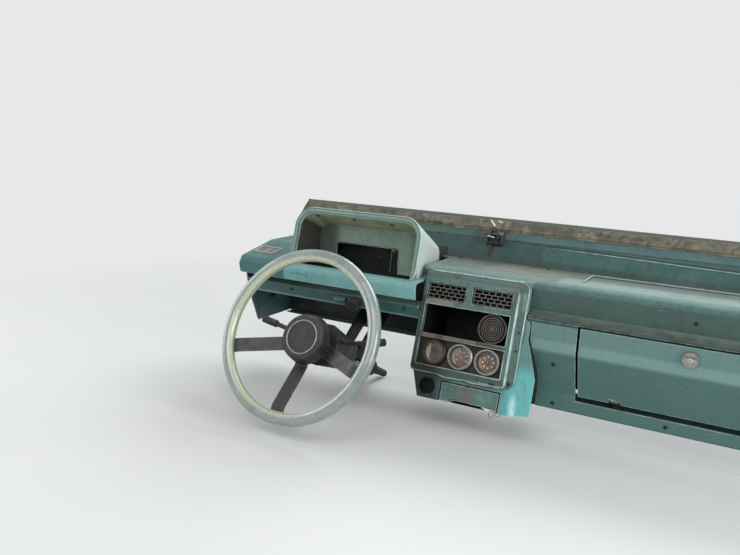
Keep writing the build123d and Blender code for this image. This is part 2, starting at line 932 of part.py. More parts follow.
# Ash drawer on rails in an open sleeve, its front broken away along the foot
tub_left = ash_left + moving_gap
tub_right = ash_right - moving_gap
tub_foot = ash_foot + moving_gap
tub_top = ash_top - moving_gap
with BuildPart() as ash_drawer:
    extrude(
        to_extrude=window(stack_plane, ash_left, ash_right, ash_foot, ash_top, ash_corner), amount=-ash_front
    )
    break_foot = [(ash_break[-1][0], ash_foot - cut_over), (ash_break[0][0], ash_foot - cut_over)]
    extrude(
        to_extrude=outline(stack_plane, ash_break + break_foot), amount=-ash_front, mode=Mode.SUBTRACT
    )
    extrude(to_extrude=window(stack_plane, tub_left, tub_right, tub_foot, tub_top), amount=-ash_depth)
    extrude(
        to_extrude=window(
            stack_plane.offset(-ash_front),
            tub_left + ash_wall,
            tub_right - ash_wall,
            tub_foot + ash_wall,
            tub_top + cut_over,
        ),
        amount=-ash_depth + ash_front + ash_wall,
        mode=Mode.SUBTRACT,
    )
save(ash_drawer, "ash_drawer")

sleeve_plane = stack_plane.offset(-stack_wall - seat_gap)
sleeve_depth = ash_depth + moving_gap
sleeve_left = tub_left - moving_gap
sleeve_right = tub_right + moving_gap
sleeve_foot = tub_foot - rail_size
sleeve_top = tub_top + moving_gap
with BuildPart() as ash_sleeve:
    extrude(
        to_extrude=window(
            sleeve_plane,
            sleeve_left - thin_sheet,
            sleeve_right + thin_sheet,
            sleeve_foot - thin_sheet,
            sleeve_top + thin_sheet,
        ),
        amount=-sleeve_depth,
    )
    extrude(
        to_extrude=window(
            sleeve_plane,
            ash_left - ash_gap - rail_size,
            ash_right + ash_gap + rail_size,
            sleeve_foot - thin_sheet,
            ash_top + ash_gap + rail_size,
        ),
        amount=-thin_sheet,
    )
    extrude(
        to_extrude=window(sleeve_plane.offset(cut_over), sleeve_left, sleeve_right, sleeve_foot, sleeve_top),
        amount=-sleeve_depth - cut_over + thin_sheet,
        mode=Mode.SUBTRACT,
    )
    for left in [tub_left + rail_inset, tub_right - rail_inset - rail_size]:
        extrude(
            to_extrude=window(
                sleeve_plane, left, left + rail_size, sleeve_foot - thin_sheet / 2, tub_foot - seat_gap
            ),
            amount=-sleeve_depth,
        )
save(ash_sleeve, "ash_sleeve")

# Right fascia: upright face, then a ledge out to the glove box lid
fascia_left = stack_edge_right + fascia_gap
with BuildPart() as right_fascia:
    fascia_path = [
        (shelf_front, skirt_foot - seat_gap),
        (shelf_front, fascia_foot + fascia_slope),
        (lid_y, fascia_foot),
        (lid_y, fascia_foot - fascia_lip),
    ]
    extrude(
        to_extrude=sheet_section(fascia_left, fascia_path, fascia_bend, moulding, Side.LEFT),
        amount=panel_end - fascia_left,
        dir=(1, 0, 0),
    )
save(right_fascia, "right_fascia")

# Lower frame: panels beside the lid, the left one cut to the stack's flare, and the rail under it
lid_right = panel_end - lid_right_gap
lid_left = lid_right - lid_width
face_path = [
    (lid_y, fascia_foot - fascia_lip - seat_gap),
    (lid_y, lid_crease),
    (lid_foot_y, lid_foot),
    (lid_foot_y, lid_foot - rail_drop - rail_lap),
]
rail_path = [
    (lid_foot_y, lid_foot - rail_drop),
    (lid_foot_y, dash_foot),
    (lid_foot_y + frame_depth, dash_foot),
    (lid_foot_y + frame_depth, dash_foot + rail_upstand),
]
with BuildPart() as glove_frame:
    for path, left, right in [
        (rail_path, fascia_left, panel_end),
        (face_path, fascia_left, lid_left - moving_gap),
        (face_path, lid_right + moving_gap, panel_end),
    ]:
        extrude(
            to_extrude=sheet_section(left, path, frame_bend, moulding, Side.LEFT),
            amount=right - left,
            dir=(1, 0, 0),
        )
    add(housing_space.part, mode=Mode.SUBTRACT)
save(glove_frame, "glove_frame")

# Glove box lid with its crease, hinged along its foot
hinge_y = lid_foot_y + hinge_set_back
hinge_z = lid_foot + hinge_rise
hinge_places = [lid_left + hinge_inset, lid_right - hinge_inset]
hinge_notch = knuckle_length + 2 * knuckle_side_gap
lid_path = [(lid_y, lid_top), (lid_y, lid_crease), (lid_foot_y, lid_foot)]
with BuildPart() as glove_lid:
    extrude(
        to_extrude=sheet_section(lid_left, lid_path, lid_bend, lid_thickness, Side.LEFT),
        amount=lid_width,
        dir=(1, 0, 0),
    )
    for x in hinge_places:
        with BuildSketch(Plane.YZ.offset(x - hinge_notch / 2)):
            with Locations((hinge_y, hinge_z)):
                Circle(knuckle_radius + moving_gap)
                Rectangle(6 * lid_thickness, 3 * lid_thickness, align=(Align.CENTER, Align.MAX))
        extrude(amount=hinge_notch, dir=(1, 0, 0), mode=Mode.SUBTRACT)
        with BuildSketch(Plane.YZ.offset(x - hinge_notch / 2 - pin_grip)):
            with Locations((hinge_y, hinge_z)):
                Circle(hinge_pin_radius + running_gap)
        extrude(amount=hinge_notch + 2 * pin_grip, dir=(1, 0, 0), mode=Mode.SUBTRACT)
save(glove_lid, "glove_lid")

# Hinges: an arm up from the rail, a knuckle and a pin out of both its ends
arm_y = hinge_y + arm_back
arm_floor = dash_foot + moulding + seat_gap
pin_length = hinge_notch + 2 * (pin_grip - cut_over)
for name, x in zip(["left", "right"], hinge_places):
    with BuildPart() as glove_hinge:
        with BuildSketch(Plane.YZ.offset(x - knuckle_length / 2)):
            with Locations((hinge_y, hinge_z)):
                Circle(knuckle_radius)
            with BuildLine():
                Polyline(
                    (hinge_y, hinge_z + arm_thickness),
                    (arm_y + arm_thickness, hinge_z - 2 * arm_thickness),
                    (arm_y + arm_thickness, arm_floor),
                    (arm_y - arm_foot, arm_floor),
                    (arm_y - arm_foot, arm_floor + arm_thickness),
                    (arm_y, arm_floor + arm_thickness),
                    (arm_y, hinge_z - 3 * arm_thickness),
                    (hinge_y, hinge_z - arm_thickness),
                    close=True,
                )
            make_face()
        extrude(amount=knuckle_length, dir=(1, 0, 0))
        with BuildSketch(Plane.YZ.offset(x - pin_length / 2)):
            with Locations((hinge_y, hinge_z)):
                Circle(hinge_pin_radius)
        extrude(amount=pin_length, dir=(1, 0, 0))
    save(glove_hinge, f"glove_hinge_{name}")

# Turning latch on the lid
latch_plane = Plane(
    origin=((lid_left + lid_right) / 2, lid_y - seat_gap, (lid_top + lid_crease) / 2 + latch_rise),
    x_dir=(1, 0, 0),
    z_dir=(0, -1, 0),
)
with BuildPart() as glove_latch:
    with BuildSketch(latch_plane):
        Circle(latch_radius)
    extrude(amount=latch_reach / 2)
    with BuildSketch(latch_plane):
        SlotOverall(2 * latch_radius - plate, latch_grip)
    extrude(amount=latch_reach)
save(glove_latch, "glove_latch")

# Glove box: an open bin behind the lid, hung from the fascia, with a flange behind the gaps beside the lid
bin_front = lid_y + lid_thickness + bin_front_gap
bin_back = -tube_depth - tube_radius - seat_gap
bin_top = fascia_foot - moving_gap
bin_foot = lid_foot + bin_foot_rise
bin_wide = lid_width - 2 * bin_side_gap
with BuildPart() as glove_bin:
    extrude(
        to_extrude=outline(
            Plane.YZ.offset(lid_left + bin_side_gap),
            [
                (bin_front, bin_top),
                (bin_back, bin_top),
                (bin_back, bin_foot + bin_back_rise),
                (bin_front + bin_slope, bin_foot),
            ],
        ),
        amount=bin_wide,
        dir=(1, 0, 0),
    )
    extrude(
        to_extrude=outline(
            Plane.YZ.offset(lid_left + bin_side_gap - bin_flange),
            [
                (bin_front, bin_top),
                (bin_front + bin_wall, bin_top),
                (bin_front + bin_slope + bin_wall, bin_foot),
                (bin_front + bin_slope, bin_foot),
            ],
        ),
        amount=bin_wide + 2 * bin_flange,
        dir=(1, 0, 0),
    )
    extrude(
        to_extrude=outline(
            Plane.YZ.offset(lid_left + bin_side_gap + bin_wall),
            [
                (bin_front - cut_over, bin_top - bin_wall),
                (bin_back - bin_wall, bin_top - bin_wall),
                (bin_back - bin_wall, bin_foot + bin_back_rise + bin_wall),
                (bin_front + bin_slope, bin_foot + bin_wall),
                (bin_front - cut_over, bin_foot + bin_wall),
            ],
        ),
        amount=bin_wide - 2 * bin_wall,
        dir=(1, 0, 0),
        mode=Mode.SUBTRACT,
    )
save(glove_bin, "glove_bin")

# Steering wheel: rim, spokes and hub in one frame, with a clear sleeve and a pad
ring_plane = Plane(origin=wheel_plane.origin, x_dir=wheel_plane.x_dir, z_dir=-wheel_plane.y_dir)
wheel_axis = Axis(wheel_plane.origin, wheel_plane.z_dir)
spoke_path = [
    (0, -spoke_drop),
    (spoke_knee_in, -spoke_drop),
    (rim_radius - spoke_knee_out, 0),
    (rim_radius - spoke_end, 0),
]
with BuildPart() as wheel_frame:
    with BuildSketch(ring_plane):
        with Locations((rim_radius, 0)):
            Circle(rim_core)
    revolve(axis=wheel_axis)
    for angle in spoke_angles:
        radial = wheel_plane.x_dir * cos(radians(angle)) + wheel_plane.y_dir * sin(radians(angle))
        spoke_plane = Plane(
            origin=wheel_plane.origin, x_dir=radial, z_dir=radial.cross(wheel_plane.z_dir)
        )
        with BuildSketch(spoke_plane):
            with BuildLine():
                FilletPolyline(*spoke_path, radius=spoke_bend)
                offset(amount=spoke_thickness / 2, side=Side.BOTH)
            make_face()
        extrude(amount=spoke_width / 2, both=True)
    with BuildSketch(wheel_plane.offset(-spoke_drop - spoke_thickness / 2)):
        Circle(hub_radius)
    extrude(amount=spoke_thickness)
    with BuildSketch(wheel_plane.offset(-hub_boss_depth)):
        Circle(hub_boss_radius)
    extrude(amount=hub_boss_depth - spoke_drop)
    with BuildSketch(wheel_plane.offset(-hub_boss_depth)):
        Circle(shaft_radius + running_gap)
    extrude(amount=hub_boss_depth, mode=Mode.SUBTRACT)
save(wheel_frame, "wheel_frame")

cover_inner = rim_core + seat_gap
cover_outer = cover_inner + cover_thickness
with BuildPart() as rim_cover:
    with BuildSketch(ring_plane):
        with Locations((rim_radius, 0)):
            Circle(cover_outer)
            Circle(cover_inner, mode=Mode.SUBTRACT)
        with Locations((rim_radius - cover_outer, 0)):
            Rectangle(2 * cover_outer, spoke_thickness + 2 * cover_slot_gap, mode=Mode.SUBTRACT)
    revolve(axis=wheel_axis)
save(rim_cover, "rim_cover")

pad_seat = -spoke_drop + spoke_thickness / 2 + seat_gap
with BuildPart() as wheel_pad:
    with BuildSketch(wheel_plane.offset(pad_seat)):
        Circle(pad_radius)
    extrude(amount=pad_height, taper=pad_taper)
    pad_top = wheel_pad.faces().sort_by(wheel_axis)[-1]
    fillet(pad_top.edges(), pad_round)
save(wheel_pad, "wheel_pad")

# Shaft and column jacket, which bears on the shaft at its two ends
shaft_start = -spoke_drop + spoke_thickness / 2
with BuildPart() as steering_shaft:
    with BuildSketch(wheel_plane.offset(shaft_start)):
        Circle(shaft_radius)
    extrude(amount=-shaft_length)
    with BuildSketch(wheel_plane.offset(shaft_start - shaft_length)):
        Circle(shaft_end_radius)
    extrude(amount=-shaft_end_length)
save(steering_shaft, "steering_shaft")

column_top = -hub_boss_depth - moving_gap
with BuildPart() as column_tube:
    with BuildSketch(wheel_plane.offset(column_top)):
        Circle(column_radius)
        Circle(shaft_radius + running_gap, mode=Mode.SUBTRACT)
    extrude(amount=-column_length)
    with BuildSketch(wheel_plane.offset(column_top - bush_length)):
        Circle(column_radius - column_wall)
    extrude(amount=-column_length + 2 * bush_length, mode=Mode.SUBTRACT)
save(column_tube, "column_tube")

# Shroud halves round the column, with the lock and the two stalks
shroud_top = column_top - shroud_gap
stalk_level = shroud_top - stalk_set_back
grip_radius = column_radius + seat_gap
split_plane = Plane(origin=wheel_plane.origin, x_dir=wheel_plane.x_dir, z_dir=wheel_plane.y_dir)
lock_plane = Plane(
    origin=wheel_plane.from_local_coords((grip_radius, -lock_drop, shroud_top - lock_set_back)),
    x_dir=wheel_plane.z_dir,
    z_dir=wheel_plane.x_dir,
)
stalk_plane = Plane(
    origin=wheel_plane.from_local_coords((0, stalk_height, stalk_level)),
    x_dir=wheel_plane.z_dir,
    z_dir=wheel_plane.x_dir,
)


def shroud_sections(inset):
    """Near and far outlines of the column shroud, drawn in by an inset."""
    sections = []
    for level, share in [(shroud_top - inset, 1.0), (shroud_top - shroud_length + inset, shroud_taper)]:
        with BuildSketch(wheel_plane.offset(level)) as section:
            RectangleRounded(
                shroud_width * share - 2 * inset,
                shroud_height * share - 2 * inset,
                shroud_corner * share - inset,
            )
        sections.append(section.sketch)
    return sections


for name, keep, step in [("upper", Keep.TOP, seat_gap / 2), ("lower", Keep.BOTTOM, -seat_gap / 2)]:
    with BuildPart() as column_shroud:
        loft(sections=shroud_sections(0.0))
        loft(sections=shroud_sections(shroud_wall), mode=Mode.SUBTRACT)
        with BuildSketch(wheel_plane.offset(shroud_top)):
            Circle(grip_radius)
        extrude(amount=-shroud_length, mode=Mode.SUBTRACT)
        with BuildSketch(lock_plane):
            Circle(lock_radius + seat_gap)
        extrude(amount=lock_reach, mode=Mode.SUBTRACT)
        with BuildSketch(stalk_plane):
            Circle(stalk_radius + seat_gap)
        extrude(amount=shroud_width, both=True, mode=Mode.SUBTRACT)
        split(bisect_by=split_plane.offset(step), keep=keep)
    save(column_shroud, f"column_shroud_{name}")

with BuildPart() as ignition_lock:
    with BuildSketch(lock_plane):
        Circle(lock_radius)
    extrude(amount=lock_reach - column_radius)
    with BuildSketch(lock_plane.offset(lock_reach - column_radius)):
        Rectangle(*key_slot)
    extrude(amount=-key_depth, mode=Mode.SUBTRACT)
save(ignition_lock, "ignition_lock")

for name, hand in [("left", -1), ("right", 1)]:
    root = (hand * (grip_radius - stalk_root), stalk_height, stalk_level)
    bend_at = (hand * (shroud_width / 2 + stalk_straight), stalk_height, stalk_level)
    tip = (hand * stalk_reach, stalk_height + stalk_rise, stalk_level + stalk_forward)
    path_points = [wheel_plane.from_local_coords(point) for point in (root, bend_at, tip)]
    with BuildPart() as stalk:
        with BuildLine():
            FilletPolyline(*path_points, radius=stalk_bend)
        with BuildSketch(Plane(origin=path_points[0], z_dir=wheel_plane.x_dir * hand)):
            Circle(stalk_radius)
        sweep()
        with BuildSketch(Plane(origin=path_points[2], z_dir=path_points[2] - path_points[1])):
            Circle(stalk_grip_radius)
        extrude(amount=-stalk_grip)
        with BuildSketch(wheel_plane.offset(column_top)):
            Circle(grip_radius)
        extrude(amount=-column_length, mode=Mode.SUBTRACT)
    save(stalk, f"stalk_{name}")

# Hanger: two side plates from the cross tube to a saddle over the column, with a strap under it
hanger_level = wheel_plane.offset(-hanger_from_wheel - hanger_width / 2)
hanger_at = hanger_level.origin
with BuildPart() as column_hanger:
    for hand in [-1, 1]:
        x = wheel_x + hand * (grip_radius + plate / 2) - plate / 2
        with BuildSketch(Plane.YZ.offset(x)) as side_plate:
            with Locations((-tube_depth, tube_height)):
                Circle(tube_radius + hanger_rim)
            with Locations((hanger_at.Y, hanger_at.Z)):
                Circle(hanger_width / 2)
            make_hull()
        extrude(amount=plate, dir=(1, 0, 0))
    with BuildSketch(hanger_level.offset(-hanger_width / 2)):
        Rectangle(2 * grip_radius + plate, grip_radius + saddle_rise, align=(Align.CENTER, Align.MIN))
    extrude(amount=hanger_width)
    with BuildSketch(hanger_level.offset(-hanger_width)):
        Circle(grip_radius)
        with Locations((0, seat_gap)):
            Rectangle(4 * grip_radius, 4 * grip_radius, align=(Align.CENTER, Align.MAX))
    extrude(amount=2 * hanger_width, mode=Mode.SUBTRACT)
    with BuildSketch(Plane.YZ.offset(wheel_x - 2 * grip_radius)):
        with Locations((-tube_depth, tube_height)):
            Circle(tube_radius + seat_gap)
    extrude(amount=4 * grip_radius, dir=(1, 0, 0), mode=Mode.SUBTRACT)
save(column_hanger, "column_hanger")

with BuildPart() as column_strap:
    strap_width = hanger_width - 2 * strap_set_back
    with BuildSketch(hanger_level.offset(-strap_width / 2)):
        Rectangle(2 * (grip_radius + plate + strap_ear), plate, align=(Align.CENTER, Align.MAX))
        Circle(grip_radius + plate)
        with Locations((0, seat_gap / 2)):
            Rectangle(4 * grip_radius, 4 * grip_radius, align=(Align.CENTER, Align.MIN), mode=Mode.SUBTRACT)
        Circle(grip_radius, mode=Mode.SUBTRACT)
    extrude(amount=strap_width)
save(column_strap, "column_strap")

# Knob on the panel under the ledge
knob_share = (knee_top - knee_shoulder - knob_z) / (knee_top - knee_shoulder - knee_foot)
knob_plane = Plane(
    origin=(knob_x, knee_y + knob_share * knee_lean, knob_z),
    x_dir=(1, 0, 0),
    z_dir=(0, -(knee_top - knee_shoulder - knee_foot), -knee_lean),
).offset(seat_gap)
with BuildPart() as panel_knob:
    with BuildSketch(knob_plane):
        Circle(knob_radius)
    extrude(amount=knob_length, taper=knob_taper)
save(panel_knob, "panel_knob")

# Catch on the scuttle's slope: a base with two ears and a pin
catch_drop = seal_thickness + seal_width + catch_seal_gap + catch_length / 2
catch_plane = Plane(
    origin=slope_plane.from_local_coords((catch_x, -catch_drop, seat_gap)),
    x_dir=slope_plane.x_dir,
    z_dir=slope_plane.z_dir,
)
catch_pin_height = ear_height - catch_pin_drop
pin_centre = catch_plane.from_local_coords((-catch_width / 2 - catch_pin_over, 0, catch_pin_height))
with BuildPart() as screen_catch:
    with BuildSketch(catch_plane):
        Rectangle(catch_width, catch_length)
    extrude(amount=catch_base)
    with BuildSketch(catch_plane):
        with GridLocations(catch_width - 2 * catch_ear_inset, 0, 2, 1):
            Rectangle(catch_ear, catch_length - 2 * catch_ear_inset)
    extrude(amount=ear_height)
    with BuildSketch(Plane(origin=pin_centre, x_dir=catch_plane.y_dir, z_dir=catch_plane.x_dir)):
        Circle(catch_pin_radius)
    extrude(amount=catch_width + 2 * catch_pin_over)
save(screen_catch, "screen_catch")
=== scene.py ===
from functools import partial
from math import cos, pi, radians, sin

import bmesh
import bpy
import numpy as np
from mathutils import Matrix, Vector


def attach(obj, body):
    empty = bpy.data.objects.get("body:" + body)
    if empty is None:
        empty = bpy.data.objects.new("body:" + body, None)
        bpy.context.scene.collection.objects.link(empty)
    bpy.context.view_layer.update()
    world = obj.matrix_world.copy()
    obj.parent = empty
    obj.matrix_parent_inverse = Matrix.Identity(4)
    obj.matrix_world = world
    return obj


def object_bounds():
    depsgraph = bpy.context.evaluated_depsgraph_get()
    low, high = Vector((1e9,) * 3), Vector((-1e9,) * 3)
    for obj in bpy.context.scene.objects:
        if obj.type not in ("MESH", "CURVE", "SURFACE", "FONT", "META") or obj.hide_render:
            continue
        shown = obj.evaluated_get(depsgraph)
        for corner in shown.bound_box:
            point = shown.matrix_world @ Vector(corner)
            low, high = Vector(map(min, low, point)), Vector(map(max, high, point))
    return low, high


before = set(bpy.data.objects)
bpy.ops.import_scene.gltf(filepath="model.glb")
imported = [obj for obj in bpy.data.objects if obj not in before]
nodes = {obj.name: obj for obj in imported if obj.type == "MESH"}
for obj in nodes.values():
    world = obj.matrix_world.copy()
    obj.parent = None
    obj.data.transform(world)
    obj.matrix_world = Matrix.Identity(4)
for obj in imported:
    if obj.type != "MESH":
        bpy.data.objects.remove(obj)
cad_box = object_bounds()
MM = 0.001


# Faces that details are measured on, in millimetres

def plane(origin, up, across=(1, 0, 0)):
    """A flat face: its origin, and its axes across, up and out, where out is across x up."""
    across, up = np.array(across, float), np.array(up, float)
    across, up = across / np.linalg.norm(across), up / np.linalg.norm(up)
    return np.array(origin, float), np.stack([across, up, np.cross(across, up)])


def on(face, points):
    """Points (u, v, w) of a face in the model: origin + u across + v up + w out."""
    return face[0] + np.asarray(points, float) @ face[1]


X, Y, Z = range(3)
U, V, W = range(3)
STACK = plane((-90, -184, -10), (0, 0.2924, 0.9563))
WHEEL = plane((-371, -368, -35), (0, 0.4446, 0.8957))
HOOD = plane((-371, -196.7, 71), (0, 0.2588, 0.9659))
MODEL = plane((0, 0, 0), (0, 1, 0))
FRONT = plane((0, 0, 0), (0, 0, 1))
HOOD_BACK = plane((-376, -97, 84.5), (0, 0, 1))
FOLD = plane((-5, 22, 137.4), (0.02, 0, 1), (1, 0, -0.02))
INTO_STACK, INTO_DASH = -STACK[1][W], (0, 1, 0)
UPWARDS, DOWNWARDS = (0, 0, 1), (0, 0, -1)

# On the stack's face: the gauges' middles, their dials' ground, and the vents' middles
GAUGES, GAUGE_ROW, DIAL_GROUND = (-57.6, 0, 57.6), -62.1, -5.2
VENT_HALF_GAP, VENT_ROW = 49.2, 62.7
DIALS = [(u, GAUGE_ROW, DIAL_GROUND) for u in GAUGES]


# Surfaces, worked out in millimetres

def quads(rows, columns, ring=True, loop=False):
    """Cells of a grid of points. Ring joins its last column to the first, loop its last row."""
    r = np.arange(rows if loop else rows - 1)[:, None]
    c = np.arange(columns if ring else columns - 1)[None, :]
    r2, c2 = (r + 1) % rows, (c + 1) % columns
    cells = [r * columns + c, r * columns + c2, r2 * columns + c2, r2 * columns + c]
    return np.stack(cells, -1).reshape(-1, 4)


def spread(u, v, w):
    """Coordinates put together, each spread over the same grid."""
    return np.stack(np.broadcast_arrays(u, v, w), -1)


def around(count):
    """Equal angles round a circle."""
    return np.linspace(0, 2 * pi, count, endpoint=False)


def turned(face, centre, profile, turns=32, loop=False):
    """A profile of (radius, height) carried round a face's out axis:
    P(i, a) = centre + r_i cos a across + r_i sin a up + h_i out. It is closed by starting and ending on the
    axis, or as a ring by loop."""
    r, h = np.array(profile, float).T[:, :, None]
    a = around(turns)
    return on(face, spread(r * np.cos(a), r * np.sin(a), h) + centre), quads(len(r), turns, loop=loop)


def carried(path, section, up=UPWARDS, scale=1.0):
    """A section of (side, rise) carried along a path:
    P(s, k) = path(s) + scale(s) (side_k n(s) + rise_k b(s)), where n is up x the path's direction and b the
    direction x n. Its ends close on the path's own ends."""
    way = np.gradient(path, axis=0)
    way /= np.linalg.norm(way, axis=1)[:, None]
    n = np.cross(up, way)
    n /= np.linalg.norm(n, axis=1)[:, None]
    b = np.cross(way, n)
    size = np.broadcast_to(scale, len(path))[:, None, None]
    rows = path[:, None] + size * (section[:, :1] * n[:, None] + section[:, 1:] * b[:, None])
    ends = np.repeat(path[[0, -1]][:, None], len(section), 1)
    rows = np.concatenate([ends[:1], rows, ends[1:]])
    return rows, quads(len(rows), len(section))


def disc(radius, sides=8):
    """A round section: (r cos a, r sin a)."""
    a = around(sides)
    return np.stack([radius * np.cos(a), radius * np.sin(a)], -1)


def slab(width, depth):
    """A flat section, its corners taken off by a quarter of its depth."""
    x, y, e = width / 2, depth / 2, depth / 4
    return np.array([(x, -y + e), (x, y - e), (x - e, y), (-x + e, y),
                     (-x, y - e), (-x, -y + e), (-x + e, -y), (x - e, -y)])


def curve(points, steps=10):
    """A smooth path through points: a Catmull-Rom curve, each run a cubic of its four nearest points."""
    p = np.array(points, float)
    p = np.concatenate([2 * p[:1] - p[1:2], p, 2 * p[-1:] - p[-2:-1]])
    t = np.linspace(0, 1, steps, endpoint=False)[None, :, None]
    a, b, c, d = (p[i:len(p) - 3 + i][:, None] for i in range(4))
    run = 2 * b + (c - a) * t + (2 * a - 5 * b + 4 * c - d) * t ** 2 + (3 * b - a - 3 * c + d) * t ** 3
    run *= 0.5
    return np.concatenate([run.reshape(-1, 3), p[-2:-1]])


def screw_head(face, radius=3.6, rise=1.9, groove=0.9, cross=True, turn=25):
    """A domed head: w(r, a) = rise (1 - (r / R)^2)^0.5, less 0.7 rise where a point lies within half the
    groove's width of a line through the middle and within 0.62 R of it. It is closed below, at w = -1."""
    r = radius * np.array([0, 0.1, 0.2, 0.3, 0.4, 0.5, 0.58, 0.66, 0.8, 0.93, 1])[:, None]
    a = around(32)
    x, y = r * np.cos(a + radians(turn)), r * np.sin(a + radians(turn))
    near = np.minimum(np.abs(x), np.abs(y)) if cross else np.abs(y)
    cut = np.clip(1.6 - near / (groove / 2), 0, 1) * (r < 0.62 * radius)
    w = rise * np.sqrt(np.clip(1 - (r / radius) ** 2, 0, 1)) - 0.7 * rise * cut
    dome = spread(r * np.cos(a), r * np.sin(a), w)
    foot = dome[-1:] * (1, 1, 0) - (0, 0, 1)
    rows = np.concatenate([dome, foot, foot * (0, 0, 1)])
    return on(face, rows), quads(len(rows), 32)


def hex_head(face, place=(0, 0, 0), across_flats=10, height=5.5, washer=7.5):
    """A bolt head on its washer: rings of r = half the width across flats / cos of the angle from the nearest
    flat's middle, chamfered at the top."""
    a = around(36)
    flat = across_flats / 2 / np.cos((a + pi / 6) % (pi / 3) - pi / 6)
    profile = [(0, 0), (washer, 0), (washer, 1), (washer - 0.5, 1.3), (flat, 1.3), (flat, height - 0.8),
               (0.9 * flat, height), (0.5 * flat, height), (0, height)]
    rows = np.stack([spread(r * np.cos(a), r * np.sin(a), h) for r, h in profile])
    return on(face, rows + place), quads(len(rows), 36)


def strokes(centre, inner, outer, degrees, width, height=0.12):
    """Printed strokes of a dial: slim four-sided prisms from the inner to the outer radius at each angle,
    P = centre + r (sin a across + cos a up) + s (cos a across - sin a up) + w out."""
    a = np.radians(degrees)[:, None, None, None]
    r = np.array([inner, outer])[:, None, None]
    s = np.array([-0.5, 0.5])[:, None] * width
    u = r * np.sin(a) + s * np.cos(a)
    v = r * np.cos(a) - s * np.sin(a)
    corners = spread(u, v, np.array([0, height])).reshape(-1, 8, 3) + centre
    box = np.array([(0, 1, 3, 2), (4, 6, 7, 5), (0, 4, 5, 1), (2, 3, 7, 6), (0, 2, 6, 4), (1, 5, 7, 3)])
    faces = (box[None] + 8 * np.arange(len(corners))[:, None, None]).reshape(-1, 4)
    return on(STACK, corners), faces


def arc(centre, radius, start, end, width, height=0.16, steps=40):
    """A printed band of a dial: a flat section carried along radius (sin a, cos a) from start to end."""
    a = np.radians(np.linspace(start, end, steps))
    path = spread(radius * np.sin(a), radius * np.cos(a), height / 2) + centre
    return carried(on(STACK, path), slab(width, height), STACK[1][W])


def linked(name, data):
    """An object at the origin, put into the scene."""
    made = bpy.data.objects.new(name, data)
    bpy.context.scene.collection.objects.link(made)
    return made


def piece(name, shells, finish, body="dash"):
    """One object of shells, each a pair of points and faces, merged, turned outwards and shaded smooth."""
    points, faces, start = [], [], 0
    for grid, cells in shells:
        grid = grid.reshape(-1, 3)
        points.append(grid)
        faces += (cells + start).tolist()
        start += len(grid)
    mesh = bpy.data.meshes.new(name)
    mesh.from_pydata((np.concatenate(points) * MM).tolist(), [], faces)
    work = bmesh.new()
    work.from_mesh(mesh)
    bmesh.ops.remove_doubles(work, verts=work.verts, dist=2e-6)
    bmesh.ops.recalc_face_normals(work, faces=work.faces)
    work.to_mesh(mesh)
    work.free()
    mesh.polygons.foreach_set("use_smooth", [True] * len(mesh.polygons))
    mesh.set_sharp_from_angle(angle=radians(40))
    mesh.materials.append(finish)
    made = linked(name, mesh)
    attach(made, body)


def resting(node, start, way):
    """The face of a CAD node that a ray meets: its origin is where it lands, its out axis the surface's."""
    hit, spot, normal, _ = nodes[node].ray_cast(Vector(start) * MM, Vector(way).normalized())
    if not hit:
        raise ValueError(f"nothing of {node} lies that way from {tuple(start)}")
    out = np.array(normal)
    out = out * -np.sign(out @ np.array(way, float))
    across = np.eye(3)[X if abs(out[X]) < 0.9 else Y]
    across = across - out * (across @ out)
    return plane(np.array(spot) / MM, np.cross(out, across), across)


# Finishes

def tint(red, green, blue):
    """A colour from its 0 to 255 values, made linear."""
    c = np.array([red, green, blue]) / 255.0
    c = np.where(c <= 0.04045, c / 12.92, ((c + 0.055) / 1.055) ** 2.4)
    return (*c.tolist(), 1.0)


def dimmed(colour, share):
    """A share of a colour's own light."""
    return [share * part for part in colour]


